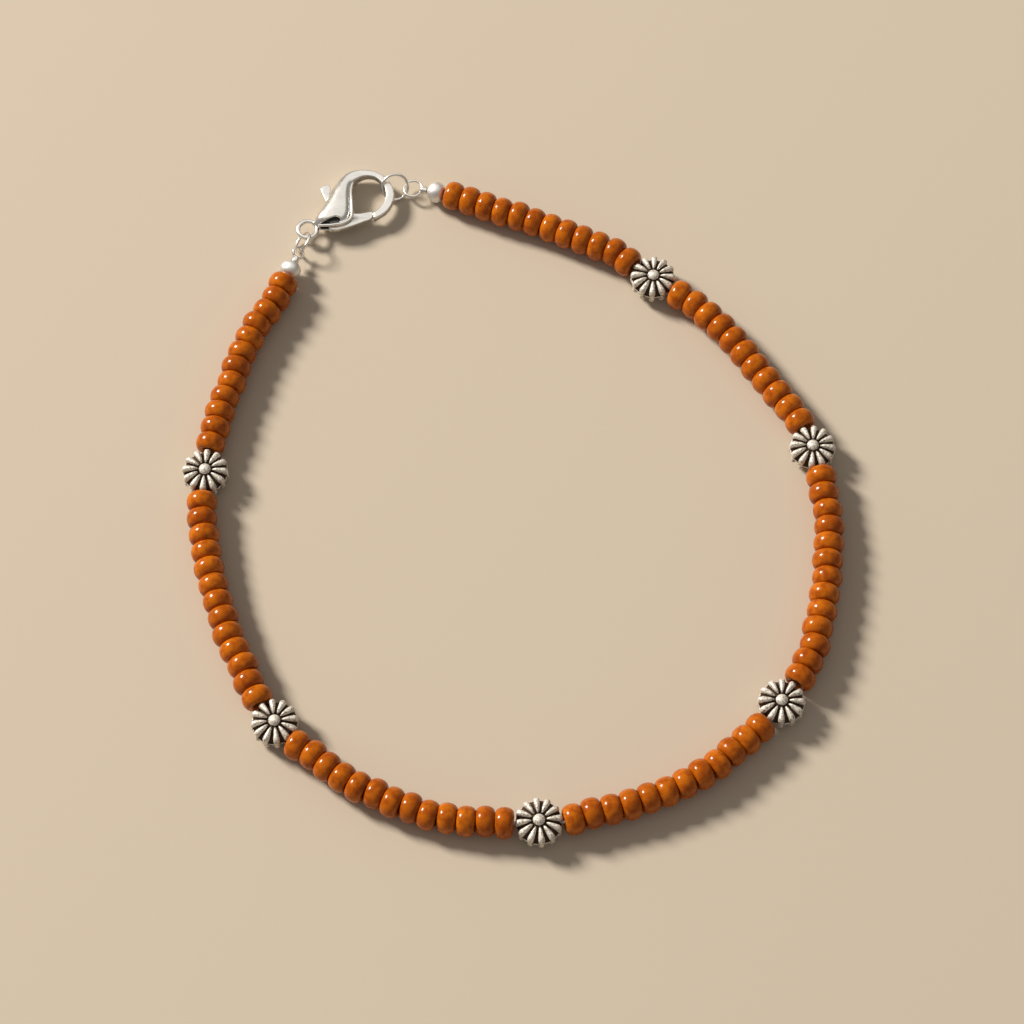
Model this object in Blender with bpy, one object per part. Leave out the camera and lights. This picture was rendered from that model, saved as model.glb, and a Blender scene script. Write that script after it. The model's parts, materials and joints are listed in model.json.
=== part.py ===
"""Beaded anklet: glass beads with flower spacers on a wire, closed by a lobster clasp.

Lengths are in millimetres until a mesh is finished, then metres. +Z is up. The anklet lies
flat: the beads' lowest facets and the clasp's back are on z = 0.
"""

import math
import random

import bmesh
import bpy
import numpy as np
from mathutils import Matrix, Vector

MM = 0.001

# Glass beads
BEAD_DIAMETER = 3.55
BEAD_FACE_DIAMETER = 1.9
BEAD_SIDES = 10
BEADS_PER_RUN = (12, 13, 13, 12, 13, 11, 12)
BEAD_SPREAD = 0.13
BEAD_YAW = math.radians(3.5)
BEAD_SMALLEST = 0.955
BEAD_SEED = 7

# Beading wire and the gaps that pieces keep
WIRE_DIAMETER = 0.4
STOP_GAP = 0.13
BORE_GAP = 0.2

# Flower spacers
FLOWER_DIAMETER = 5.15
FLOWER_THICKNESS = 2.8
FLOWER_PETALS = 12
FLOWER_TURNS = (-4.0, 8.0, 7.0, -3.0, -5.0, -4.0)

# Silver balls
BALL_DIAMETER = 2.5
BALL_LENGTH = 2.05
BALL_HEIGHT = 1.5
BALL_LIP = 0.12

# Clasp
CLASP_EYE = (-24.15, 36.98)
CLASP_TURN = math.radians(27.0)
CLASP_LENGTH = 11.5
CLASP_RISE = 4.6
CLASP_THICKNESS = 2.7
EYE_RADIUS = 1.12
EYE_WIRE_DIAMETER = 0.54
RIM_DIAMETER = 0.34
LEVER_THICKNESS = 0.8
LEVER_GAP = 0.1
PIN_DIAMETER = 0.72
PIN_FIT = 0.06
PIN_PLAY = 0.09
PIN_COVER = 0.5
PIN_RECESS = 0.06

# Rings and end loops
LINK_WIRE_DIAMETER = 0.34
LOOP_WIRE_DIAMETER = 0.3
LINK_GAP = 0.12
LEFT_RING_RADIUS = 1.28
LEFT_RING_ROLL = math.radians(50.0)
RIGHT_RING_RADIUS = 1.55
RIGHT_RING_TILT = math.radians(47.0)
RIGHT_RING_TWIST = math.radians(-10.6)
RIGHT_RING_LINK = math.radians(-17.7)
RIGHT_RING_SEAT = 0.25
RIGHT_RING_DROP = 0.33
LEFT_LOOP_RADIUS = 0.7
RIGHT_LOOP_RADIUS = 1.08
CRIMP_DIAMETER = 0.95
CRIMP_LENGTH = 0.8
CRIMP_WALL = 0.18
CRIMP_BORE = 0.42
CRIMP_GAP = 0.1

# The wire's route in plan, from the left ball round to the right one: every fifth point
# is a flower, and the four between them lie along a run of beads.
ROUTE = (
    (-25.9, 31.4), (-27.6, 27.4), (-30.6, 22.0), (-32.4, 16.3), (-33.9, 10.5),
    (-34.8, 4.9), (-35.0, -0.5), (-33.9, -6.9), (-31.6, -14.7), (-29.0, -20.5),
    (-26.4, -25.9), (-21.7, -29.2), (-16.8, -32.8), (-9.3, -36.0), (-2.8, -36.9),
    (2.9, -37.1), (8.9, -36.0), (15.1, -34.0), (20.8, -31.4), (25.9, -27.2),
    (29.6, -23.2), (32.8, -18.0), (34.5, -12.1), (35.7, -3.8), (35.4, 2.6),
    (34.6, 8.0), (31.8, 13.1), (28.0, 18.7), (23.9, 24.0), (21.0, 26.8),
    (16.4, 29.9), (12.1, 33.5), (6.3, 36.1), (0.5, 38.6), (-5.3, 40.6),
    (-9.0, 42.0),
)
ROUTE_STRIDE = 5

# Clasp casting: a row for each section from the tail round the hook to its tip. Columns are
# the spine-side edge and the inner edge (along as shares of CLASP_LENGTH, up as shares of
# CLASP_RISE), then the section's floor and top as shares of CLASP_THICKNESS, and how far
# its outline goes from the domed body's to the flatter hook's.
CASTING = (
    (0.091, 0.120, 0.098, -0.075, 0.37, 0.64, 0.0),
    (0.137, 0.204, 0.147, -0.139, 0.16, 0.82, 0.0),
    (0.187, 0.283, 0.209, -0.217, 0.04, 0.93, 0.0),
    (0.235, 0.348, 0.278, -0.296, 0.00, 0.98, 0.0),
    (0.303, 0.502, 0.365, -0.363, 0.00, 1.00, 0.0),
    (0.389, 0.670, 0.452, -0.239, 0.00, 1.00, 0.0),
    (0.482, 0.841, 0.511, 0.065, 0.00, 0.97, 0.0),
    (0.567, 0.957, 0.562, 0.400, 0.00, 0.90, 0.3),
    (0.650, 0.998, 0.623, 0.652, 0.12, 0.81, 0.7),
    (0.728, 0.976, 0.711, 0.743, 0.23, 0.74, 1.0),
    (0.802, 0.922, 0.780, 0.739, 0.30, 0.70, 1.0),
    (0.872, 0.822, 0.841, 0.678, 0.33, 0.67, 1.0),
    (0.936, 0.672, 0.886, 0.578, 0.33, 0.67, 1.0),
    (0.978, 0.470, 0.912, 0.415, 0.33, 0.67, 1.0),
    (1.000, 0.207, 0.925, 0.187, 0.33, 0.67, 1.0),
    (0.987, -0.035, 0.908, 0.009, 0.33, 0.67, 1.0),
    (0.938, -0.252, 0.870, -0.133, 0.33, 0.67, 1.0),
    (0.865, -0.420, 0.813, -0.254, 0.33, 0.67, 1.0),
    (0.777, -0.518, 0.748, -0.324, 0.33, 0.67, 1.0),
    (0.657, -0.535, 0.684, -0.367, 0.33, 0.67, 1.0),
)

# The two outlines of a section from its inner edge round by the floor: shares across and up.
BODY_SECTION = (
    (0.00, 0.30), (0.13, 0.00), (0.87, 0.00), (1.00, 0.30), (1.00, 0.56),
    (0.90, 0.84), (0.66, 0.98), (0.34, 0.98), (0.10, 0.84), (0.00, 0.56),
)
HOOK_SECTION = (
    (0.00, 0.16), (0.12, 0.00), (0.88, 0.00), (1.00, 0.16), (1.00, 0.82),
    (0.88, 0.97), (0.66, 1.00), (0.34, 1.00), (0.12, 0.97), (0.00, 0.82),
)

# Outlines in plan, as shares of CLASP_LENGTH and CLASP_RISE.
RIM_PATH = (
    (0.650, 0.690), (0.589, 0.480), (0.548, 0.240), (0.508, 0.000), (0.470, -0.195),
    (0.436, -0.288), (0.386, -0.322), (0.330, -0.312), (0.261, -0.252), (0.200, -0.182),
    (0.150, -0.110),
)
LEVER_OUTLINE = (
    (0.637, -0.489), (0.676, -0.322), (0.563, -0.228), (0.490, -0.135), (0.437, -0.040),
    (0.415, 0.080), (0.398, 0.210), (0.372, 0.340), (0.366, 0.560), (0.385, 0.680),
    (0.420, 0.830), (0.408, 0.920), (0.360, 0.945), (0.320, 0.880), (0.308, 0.700),
    (0.303, 0.520), (0.285, 0.330), (0.258, 0.200), (0.244, 0.076), (0.232, -0.100),
    (0.196, -0.240), (0.216, -0.335), (0.290, -0.405), (0.370, -0.445), (0.440, -0.467),
    (0.540, -0.480),
)
SLOT_OUTLINE = (
    (0.156, -0.700), (0.550, -0.700), (0.558, 0.165), (0.452, 0.207), (0.404, 0.300),
    (0.408, 0.700), (0.425, 1.000), (0.150, 0.850), (0.180, 0.230), (0.170, 0.060),
    (0.156, -0.060),
)
FACE_OPENING = (
    (0.128, -0.140), (0.186, -0.104), (0.262, -0.125), (0.300, -0.128), (0.330, -0.196),
    (0.322, -0.250), (0.262, -0.268), (0.196, -0.205), (0.150, -0.165),
)
LEVER_PIVOT = (0.326, 0.076)
HOOK_STATION = 14

bpy_objects = bpy.data.objects


def remove_all():
    """Empty the scene."""
    for old in list(bpy_objects):
        bpy_objects.remove(old, do_unlink=True)


def material(name, colour, metallic, roughness):
    """Return a Principled material."""
    made = bpy.data.materials.new(name)
    made.use_nodes = True
    shader = made.node_tree.nodes["Principled BSDF"]
    shader.inputs["Base Color"].default_value = (*colour, 1.0)
    shader.inputs["Metallic"].default_value = metallic
    shader.inputs["Roughness"].default_value = roughness
    made.diffuse_color = (*colour, 1.0)
    return made


def place(name, bm, finish, matrix, parent):
    """Turn a bmesh in millimetres into an object in metres under a parent."""
    bmesh.ops.recalc_face_normals(bm, faces=bm.faces)
    bmesh.ops.scale(bm, vec=(MM, MM, MM), verts=bm.verts)
    mesh = bpy.data.meshes.new(name)
    bm.to_mesh(mesh)
    bm.free()
    mesh.materials.append(finish)
    made = bpy_objects.new(name, mesh)
    bpy.context.collection.objects.link(made)
    made.parent = parent
    spot, turn, _ = matrix.decompose()
    made.location = spot * MM
    made.rotation_euler = turn.to_euler()
    return made


def combine(target, tool, operation):
    """Add an exact Boolean of a hidden tool object to a target."""
    tool.hide_render = True
    tool.display_type = "WIRE"
    step = target.modifiers.new(tool.name, "BOOLEAN")
    step.operation = operation
    step.solver = "EXACT"
    step.object = tool


def skin(bm, rings):
    """Skin closed rings of equal count into a solid with both ends filled."""
    made = [[bm.verts.new(point) for point in ring] for ring in rings]
    for low, high in zip(made, made[1:]):
        count = len(low)
        for i in range(count):
            j = (i + 1) % count
            bm.faces.new((low[i], low[j], high[j], high[i]))
    bm.faces.new(reversed(made[0]))
    bm.faces.new(made[-1])


def plate(outline, low, high):
    """Extrude an outline in plan between two heights."""
    bm = bmesh.new()
    base = bm.faces.new([bm.verts.new((x, y, low)) for x, y in outline])
    top = bmesh.ops.extrude_face_region(bm, geom=[base])["geom"]
    verts = [item for item in top if isinstance(item, bmesh.types.BMVert)]
    bmesh.ops.translate(bm, vec=(0.0, 0.0, high - low), verts=verts)
    return bm


def rod(radius, low, high, sides=12):
    """Return an upright round rod between two heights."""
    bm = bmesh.new()
    bmesh.ops.create_cone(bm, cap_ends=True, segments=sides, radius1=radius, radius2=radius,
                          depth=high - low)
    bmesh.ops.translate(bm, vec=(0.0, 0.0, (low + high) / 2), verts=bm.verts)
    return bm


def turn_profile(profile, sides):
    """Spin a closed profile of (along, radius) about local X."""
    bm = bmesh.new()
    verts = [bm.verts.new((x, 0.0, r)) for x, r in profile]
    edges = [bm.edges.new((verts[i - 1], verts[i])) for i in range(len(verts))]
    bmesh.ops.spin(bm, geom=verts + edges, cent=(0, 0, 0), axis=(1, 0, 0),
                   angle=2 * math.pi, steps=sides, use_merge=True)
    return bm


def wire_ring(bm, radius, wire, matrix, sides=14, wire_sides=6):
    """Add a round wire ring in the matrix's XY plane."""
    points = []
    for i in range(wire_sides):
        a = 2 * math.pi * (i + 0.5) / wire_sides
        points.append((radius + wire / 2 * math.cos(a), 0.0, wire / 2 * math.sin(a)))
    verts = [bm.verts.new(point) for point in points]
    edges = [bm.edges.new((verts[i - 1], verts[i])) for i in range(wire_sides)]
    before = set(bm.verts) - set(verts)
    bmesh.ops.spin(bm, geom=verts + edges, cent=(0, 0, 0), axis=(0, 0, 1),
                   angle=2 * math.pi, steps=sides, use_merge=True)
    added = [v for v in bm.verts if v not in before]
    bmesh.ops.transform(bm, matrix=matrix, verts=added)


def axes(spot, forward, side):
    """Return a matrix with X along forward and Y near side."""
    x = Vector(forward).normalized()
    y = Vector(side)
    y = (y - x * x.dot(y)).normalized()
    z = x.cross(y)
    made = Matrix((x, y, z)).transposed().to_4x4()
    made.translation = spot
    return made


class Route:
    """A smooth curve through points, read by its length."""

    def __init__(self, points, steps=16):
        ends = [2 * points[0] - points[1], *points, 2 * points[-1] - points[-2]]
        samples = []
        for a, b, c, d in zip(ends, ends[1:], ends[2:], ends[3:]):
            for t in np.arange(steps) / steps:
                samples.append(0.5 * (2 * b + (c - a) * t + (2 * a - 5 * b + 4 * c - d) * t * t
                                      + (3 * b - a - 3 * c + d) * t ** 3))
        samples.append(points[-1])
        self.samples = np.array(samples)
        steps_long = np.linalg.norm(np.diff(self.samples, axis=0), axis=1)
        self.along = np.concatenate(([0.0], np.cumsum(steps_long)))
        self.marks = [self.along[i * steps] for i in range(len(points))]

    def at(self, s):
        """Return the point at a length from the start."""
        return Vector(np.interp(s, self.along, self.samples[:, k]) for k in range(3))

    def heading(self, s, reach=0.6):
        """Return the direction of travel at a length from the start."""
        return (self.at(s + reach) - self.at(s - reach)).normalized()


def hoop(centre, forward, radius, sides=BEAD_SIDES):
    """Return a ring round a direction whose facets touch the radius, one of them lowest."""
    x = forward.normalized()
    y = Vector((0.0, 0.0, 1.0)).cross(x).normalized()
    z = x.cross(y)
    reach = radius / math.cos(math.pi / sides)
    turns = [2 * math.pi * (i + 0.5) / sides for i in range(sides)]
    return [centre + reach * (y * math.sin(a) - z * math.cos(a)) for a in turns]


# A bead's profile: shares of half its length and of its radius between its two faces.
BEAD_PROFILE = ((-0.72, 0.86), (-0.26, 1.0), (0.26, 1.0), (0.72, 0.86))


def lay_run(route, dice, count, low, high):
    """Return a run's beads, each its centre, direction, radius and half length."""
    half = (high - low) / count / 2
    beads = []
    for i in range(count):
        s = low + half * (2 * i + 1)
        radius = BEAD_DIAMETER / 2 * dice.uniform(BEAD_SMALLEST, 1.0)
        side = dice.uniform(-BEAD_SPREAD, BEAD_SPREAD)
        yaw = dice.uniform(-BEAD_YAW, BEAD_YAW)
        ahead = route.heading(s)
        across = Vector((-ahead.y, ahead.x, 0.0))
        spot = route.at(s) + across * side
        spot.z = radius
        head = ahead * math.cos(yaw) + across * math.sin(yaw)
        head.z = 0.0
        beads.append((spot, head.normalized(), radius, half))
    return beads


def face_point(bead, end):
    """Return the middle of a bead's face, its far one with end 1 and its near one with -1."""
    spot, head, _, half = bead
    return spot + head * half * end


def bead_string(runs, start, end):
    """Skin the runs of beads on their wire, which begins and ends with the given points."""
    wire = WIRE_DIAMETER / 2
    face = BEAD_FACE_DIAMETER / 2
    rings = [hoop(start[0], start[1] - start[0], wire), hoop(start[1], start[1] - start[0], wire)]
    for run in runs:
        first, last = run[0], run[-1]
        rings.append(hoop(face_point(first, -1), first[1], wire))
        rings.append(hoop(face_point(first, -1), first[1], face))
        for i, bead in enumerate(run):
            spot, head, radius, half = bead
            if i:
                joint = (face_point(run[i - 1], 1) + face_point(bead, -1)) / 2
                rings.append(hoop(joint, run[i - 1][1] + head, face))
            rings += [hoop(spot + head * half * share, head, radius * width)
                      for share, width in BEAD_PROFILE]
        rings.append(hoop(face_point(last, 1), last[1], face))
        rings.append(hoop(face_point(last, 1), last[1], wire))
    rings += [hoop(end[0], end[1] - end[0], wire), hoop(end[1], end[1] - end[0], wire)]
    bm = bmesh.new()
    skin(bm, rings)
    return bm


# A flower's relief from its boss to its rim: the radius and height on a petal's crest, then
# on the groove beside it, as shares of its radius and of half its thickness.
FLOWER_RELIEF = (
    (0.16, 0.97, 0.16, 0.97), (0.29, 0.80, 0.29, 0.76),
    (0.50, 0.91, 0.47, 0.68), (0.83, 0.74, 0.78, 0.50), (0.99, 0.38, 0.90, 0.22),
    (0.93, 0.00, 0.86, 0.00),
)


def flower():
    """Return a flower with its axis upright, its first petal along X, before drilling."""
    bm = bmesh.new()
    radius = FLOWER_DIAMETER / 2
    half = FLOWER_THICKNESS / 2
    rows = list(FLOWER_RELIEF)
    rows += [(r1, -z1, r2, -z2) for r1, z1, r2, z2 in reversed(FLOWER_RELIEF[:-1])]
    loops = []
    for crest_r, crest_z, groove_r, groove_z in rows:
        ring = []
        for i in range(2 * FLOWER_PETALS):
            a = math.pi * i / FLOWER_PETALS
            r, z = (crest_r, crest_z) if i % 2 == 0 else (groove_r, groove_z)
            point = (r * radius * math.cos(a), r * radius * math.sin(a), z * half)
            ring.append(bm.verts.new(point))
        loops.append(ring)
    for high, low in zip(loops, loops[1:]):
        count = len(high)
        for i in range(count):
            j = (i + 1) % count
            bm.faces.new((high[i], low[i], low[j], high[j]))
    for ring, height in ((loops[0], half), (loops[-1], -half)):
        tip = bm.verts.new((0.0, 0.0, height))
        for i, vert in enumerate(ring):
            bm.faces.new((vert, ring[(i + 1) % len(ring)], tip))
    return bm


def ball_profile(length, diameter, bore):
    """Return a drilled ball's closed profile along X."""
    first = math.asin((bore / 2 + BALL_LIP) / (diameter / 2))
    wide = length / 2 / math.cos(first)
    points = []
    steps = 7
    for i in range(steps + 1):
        a = first + (math.pi - 2 * first) * i / steps
        points.append((-wide * math.cos(a), diameter / 2 * math.sin(a)))
    return points + [(length / 2, bore / 2), (-length / 2, bore / 2)]


def end_loop(name, matrix, radius, parent, finish):
    """Make a wire loop with its crimp tube along +X, bored for the beading wire."""
    bm = bmesh.new()
    wire_ring(bm, radius, LOOP_WIRE_DIAMETER, Matrix.Identity(4), sides=12)
    loop = place(name, bm, finish, matrix, parent)
    low = radius - LOOP_WIRE_DIAMETER * 0.3
    high = low + CRIMP_LENGTH
    tube = rod(CRIMP_DIAMETER / 2, low, high)
    bmesh.ops.bevel(tube, geom=[e for e in tube.edges if abs(e.verts[0].co.z - e.verts[1].co.z) < 1e-6],
                    offset=CRIMP_DIAMETER * 0.16, segments=1, affect="EDGES")
    along_x = Matrix.Rotation(math.pi / 2, 4, "Y")
    bmesh.ops.transform(tube, matrix=along_x, verts=tube.verts)
    crimp = place(name + "_crimp", tube, finish, matrix, parent)
    bore = rod(CRIMP_DIAMETER / 2 - CRIMP_WALL, low + CRIMP_LENGTH * CRIMP_BORE, high + 1.0, sides=10)
    bmesh.ops.transform(bore, matrix=along_x, verts=bore.verts)
    drill = place(name + "_bore", bore, finish, matrix, parent)
    combine(loop, crimp, "UNION")
    combine(loop, drill, "DIFFERENCE")
    return high


def in_clasp(outline):
    """Turn shares of the clasp's length and rise into millimetres."""
    return [(x * CLASP_LENGTH, y * CLASP_RISE) for x, y in outline]


def casting():
    """Return the clasp's shells and hook as one skinned solid."""
    rings = []
    for spine_x, spine_y, inner_x, inner_y, floor, top, square in CASTING:
        spine = Vector((spine_x * CLASP_LENGTH, spine_y * CLASP_RISE, 0.0))
        inner = Vector((inner_x * CLASP_LENGTH, inner_y * CLASP_RISE, 0.0))
        ring = []
        for body, hook in zip(BODY_SECTION, HOOK_SECTION):
            across, up = Vector(body).lerp(Vector(hook), square)
            point = inner.lerp(spine, across)
            point.z = (floor + (top - floor) * up) * CLASP_THICKNESS
            ring.append(point)
        rings.append(ring)
    bm = bmesh.new()
    skin(bm, rings)
    return bm


def rim():
    """Return the rolled rim along the face's inner edge as a thin tube."""
    path = [Vector((x, y, 0.0)) for x, y in in_clasp(RIM_PATH)]
    shares = [i / (len(path) - 1) for i in range(len(path))]
    for point, share in zip(path, shares):
        point.z = CLASP_THICKNESS * (0.70 + 0.10 * math.sin(math.pi * share))
    rings = []
    for i, point in enumerate(path):
        ahead = path[min(i + 1, len(path) - 1)] - path[max(i - 1, 0)]
        rings.append(hoop(point, ahead, RIM_DIAMETER / 2, sides=6))
    bm = bmesh.new()
    skin(bm, rings)
    return bm


def main():
    remove_all()
    glass = material("orange_glass", (0.72, 0.17, 0.015), 0.0, 0.18)
    silver = material("polished_silver", (0.80, 0.79, 0.77), 1.0, 0.18)
    antique = material("antique_silver", (0.52, 0.51, 0.49), 1.0, 0.38)
    steel = material("pin_steel", (0.55, 0.55, 0.55), 1.0, 0.35)

    root = bpy_objects.new("anklet_frame", None)
    bpy.context.collection.objects.link(root)

    middle = CLASP_THICKNESS / 2
    clasp_matrix = Matrix.Translation((*CLASP_EYE, 0.0)) @ Matrix.Rotation(CLASP_TURN, 4, "Z")
    eye = Vector((*CLASP_EYE, middle))
    left_aim, right_aim = (Vector((*ROUTE[i], BALL_HEIGHT)) for i in (0, -1))
    up = Vector((0.0, 0.0, 1.0))

    # Left chain: eye, ring, loop, crimp and ball lie along one line to the route's start.
    line = (left_aim - eye).normalized()
    side = up.cross(line).normalized()
    ring_start = (EYE_RADIUS - EYE_WIRE_DIAMETER / 2 - LINK_WIRE_DIAMETER / 2 - LINK_GAP)
    ring_centre = eye + line * (ring_start + LEFT_RING_RADIUS)
    roll = math.cos(LEFT_RING_ROLL) * side + math.sin(LEFT_RING_ROLL) * up
    bm = bmesh.new()
    wire_ring(bm, LEFT_RING_RADIUS, LINK_WIRE_DIAMETER, Matrix.Identity(4))
    place("jump_ring_left", bm, silver, axes(ring_centre, line, roll), root)
    hold = (LINK_WIRE_DIAMETER + LOOP_WIRE_DIAMETER) / 2 + LINK_GAP
    loop_centre = ring_centre + line * (LEFT_RING_RADIUS - hold + LEFT_LOOP_RADIUS)
    cross = math.sin(LEFT_RING_ROLL) * side - math.cos(LEFT_RING_ROLL) * up
    left_loop = axes(loop_centre, line, cross)
    left_high = end_loop("end_loop_left", left_loop, LEFT_LOOP_RADIUS, root, silver)
    left_ball = left_loop @ Vector((left_high + CRIMP_GAP + BALL_LENGTH / 2, 0.0, 0.0))

    # Right chain: the ring goes round the hook's nose, tilted, and the loop lies nearly flat.
    nose_inner = CASTING[HOOK_STATION][2] * CLASP_LENGTH
    nose_up = CASTING[HOOK_STATION][3] * CLASP_RISE
    ring_x = nose_inner - RIGHT_RING_SEAT - LINK_WIRE_DIAMETER / 2 + RIGHT_RING_RADIUS
    ring_matrix = (clasp_matrix
                   @ Matrix.Translation((ring_x, nose_up - RIGHT_RING_DROP, middle))
                   @ Matrix.Rotation(RIGHT_RING_TWIST, 4, "Z")
                   @ Matrix.Rotation(RIGHT_RING_TILT, 4, "X"))
    bm = bmesh.new()
    wire_ring(bm, RIGHT_RING_RADIUS, LINK_WIRE_DIAMETER, Matrix.Identity(4))
    place("jump_ring_right", bm, silver, ring_matrix, root)
    link = ring_matrix @ Vector((RIGHT_RING_RADIUS * math.cos(RIGHT_RING_LINK),
                                 RIGHT_RING_RADIUS * math.sin(RIGHT_RING_LINK), 0.0))
    line = (right_aim - link).normalized()
    loop_centre = link + line * (RIGHT_LOOP_RADIUS - hold)
    right_loop = axes(loop_centre, line, up.cross(line))
    right_high = end_loop("end_loop_right", right_loop, RIGHT_LOOP_RADIUS, root, silver)
    right_ball = right_loop @ Vector((right_high + CRIMP_GAP + BALL_LENGTH / 2, 0.0, 0.0))

    # The runs of beads follow the route from ball to ball, and the wire goes straight from
    # face to face.
    points = [np.array(left_ball)]
    points += [np.array((x, y, BEAD_DIAMETER / 2)) for x, y in ROUTE[1:-1]]
    points += [np.array(right_ball)]
    route = Route(points)
    stops = [(mark, FLOWER_DIAMETER) for mark in route.marks[::ROUTE_STRIDE]]
    stops[0] = (route.marks[0], BALL_LENGTH)
    stops[-1] = (route.marks[-1], BALL_LENGTH)
    dice = random.Random(BEAD_SEED)
    runs = [lay_run(route, dice, count, a + wide / 2 + STOP_GAP, b - broad / 2 - STOP_GAP)
            for count, (a, wide), (b, broad) in zip(BEADS_PER_RUN, stops, stops[1:])]
    into = CRIMP_LENGTH * (1 - CRIMP_BORE) * 0.5
    start = [left_loop @ Vector((x, 0.0, 0.0)) for x in (left_high - into, left_high)]
    end = [right_loop @ Vector((x, 0.0, 0.0)) for x in (right_high, right_high - into)]
    place("bead_string", bead_string(runs, start, end), glass, Matrix.Identity(4), root)

    bore = WIRE_DIAMETER + 2 * BORE_GAP
    for name, bead, near, far in (("ball_left", runs[0][0], -1, start[1]),
                                  ("ball_right", runs[-1][-1], 1, end[0])):
        face = face_point(bead, near)
        out = (far - face).normalized()
        spot = face + out * (STOP_GAP + BALL_LENGTH / 2)
        bm = turn_profile(ball_profile(BALL_LENGTH, BALL_DIAMETER, bore), 12)
        place(name, bm, silver, axes(spot, out, up), root)

    lie_along = Matrix.Rotation(math.pi / 2, 4, "Y")
    for i, (before, after, turn) in enumerate(zip(runs, runs[1:], FLOWER_TURNS)):
        name = "flower_%d" % (i + 1)
        ends = face_point(before[-1], 1), face_point(after[0], -1)
        spot = (ends[0] + ends[1]) / 2
        spin = Matrix.Rotation(math.radians(90.0 + turn), 4, "Z")
        body = place(name, flower(), antique, Matrix.Translation(spot) @ spin, root)
        bm = rod(bore / 2, -FLOWER_DIAMETER, FLOWER_DIAMETER, sides=10)
        drilled = axes(spot, ends[1] - ends[0], up) @ lie_along
        combine(body, place(name + "_bore", bm, antique, drilled, root), "DIFFERENCE")

    # Clasp: the casting, its lever in the slot and the pin.
    body = place("clasp_body", casting(), silver, clasp_matrix, root)
    bm = bmesh.new()
    wire_ring(bm, EYE_RADIUS, EYE_WIRE_DIAMETER, Matrix.Translation((0, 0, middle)), 16, 8)
    combine(body, place("clasp_eye", bm, silver, clasp_matrix, root), "UNION")
    combine(body, place("clasp_rim", rim(), silver, clasp_matrix, root), "UNION")
    slot_half = LEVER_THICKNESS / 2 + LEVER_GAP
    bm = plate(in_clasp(SLOT_OUTLINE), middle - slot_half, middle + slot_half)
    combine(body, place("clasp_slot", bm, silver, clasp_matrix, root), "DIFFERENCE")
    bm = plate(in_clasp(FACE_OPENING), middle, CLASP_THICKNESS * 1.2)
    combine(body, place("clasp_opening", bm, silver, clasp_matrix, root), "DIFFERENCE")
    pivot = Vector((LEVER_PIVOT[0] * CLASP_LENGTH, LEVER_PIVOT[1] * CLASP_RISE, 0.0))
    pivot_matrix = clasp_matrix @ Matrix.Translation(pivot)
    pin_top = CLASP_THICKNESS - PIN_COVER
    bm = rod(PIN_DIAMETER / 2 + PIN_FIT, -1.0, pin_top + PIN_FIT)
    combine(body, place("clasp_pin_bore", bm, silver, pivot_matrix, root), "DIFFERENCE")
    place("lever_pin", rod(PIN_DIAMETER / 2, PIN_RECESS, pin_top), steel, pivot_matrix, root)

    outline = [(x - pivot.x, y - pivot.y) for x, y in in_clasp(LEVER_OUTLINE)]
    low, high = middle - LEVER_THICKNESS / 2, middle + LEVER_THICKNESS / 2
    lever = place("clasp_lever", plate(outline, low, high), silver, pivot_matrix, root)
    bm = rod(PIN_DIAMETER / 2 + PIN_PLAY, -1.0, CLASP_THICKNESS + 1.0)
    combine(lever, place("lever_bore", bm, silver, pivot_matrix, root), "DIFFERENCE")

    # The frame's origin is under the middle of the whole.
    bpy.context.view_layer.update()
    graph = bpy.context.evaluated_depsgraph_get()
    corners = []
    for made in bpy_objects:
        if made.type == "MESH" and not made.hide_render:
            solid = made.evaluated_get(graph)
            corners += [solid.matrix_world @ v.co for v in solid.data.vertices]
    low = [min(c[k] for c in corners) for k in range(3)]
    high = [max(c[k] for c in corners) for k in range(3)]
    root.location = (-(low[0] + high[0]) / 2, -(low[1] + high[1]) / 2, -low[2])
    bpy.context.view_layer.update()
    print("frame", [round(v / MM, 4) for v in root.location],
          "size", [round((b - a) / MM, 3) for a, b in zip(low, high)])
    print("pivot", [round(v / MM, 4) for v in lever.matrix_world.translation])


main()
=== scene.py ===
"""Beaded anklet, dressed: glass beads, cast flower spacers, silver balls, rings and a clasp.

Sizes are in millimetres in the layout's own frame. When a piece is finished its mesh is moved
by FRAME_SHIFT and scaled to metres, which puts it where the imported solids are.
"""

import json
import logging
import math
import random
from collections.abc import Iterable, Sequence
from dataclasses import dataclass, field
from enum import Enum

import bmesh
import bpy
import numpy as np
from mathutils import Matrix, Vector, noise
from mathutils.bvhtree import BVHTree

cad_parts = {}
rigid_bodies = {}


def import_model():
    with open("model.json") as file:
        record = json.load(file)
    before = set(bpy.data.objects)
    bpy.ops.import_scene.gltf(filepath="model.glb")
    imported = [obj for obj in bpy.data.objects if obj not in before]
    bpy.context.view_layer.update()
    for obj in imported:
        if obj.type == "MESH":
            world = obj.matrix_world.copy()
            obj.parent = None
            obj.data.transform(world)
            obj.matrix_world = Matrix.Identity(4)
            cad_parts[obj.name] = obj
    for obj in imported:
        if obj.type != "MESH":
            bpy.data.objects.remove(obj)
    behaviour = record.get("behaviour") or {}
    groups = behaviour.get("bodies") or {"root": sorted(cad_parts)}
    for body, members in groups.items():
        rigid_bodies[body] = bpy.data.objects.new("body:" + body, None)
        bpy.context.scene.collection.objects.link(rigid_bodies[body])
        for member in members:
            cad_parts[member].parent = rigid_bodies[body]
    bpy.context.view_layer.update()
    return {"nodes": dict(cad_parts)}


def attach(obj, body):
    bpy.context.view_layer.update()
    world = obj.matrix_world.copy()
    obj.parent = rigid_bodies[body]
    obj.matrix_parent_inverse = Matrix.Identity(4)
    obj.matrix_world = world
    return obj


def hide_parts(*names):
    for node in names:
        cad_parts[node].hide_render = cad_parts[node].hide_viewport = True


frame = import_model()

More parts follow.
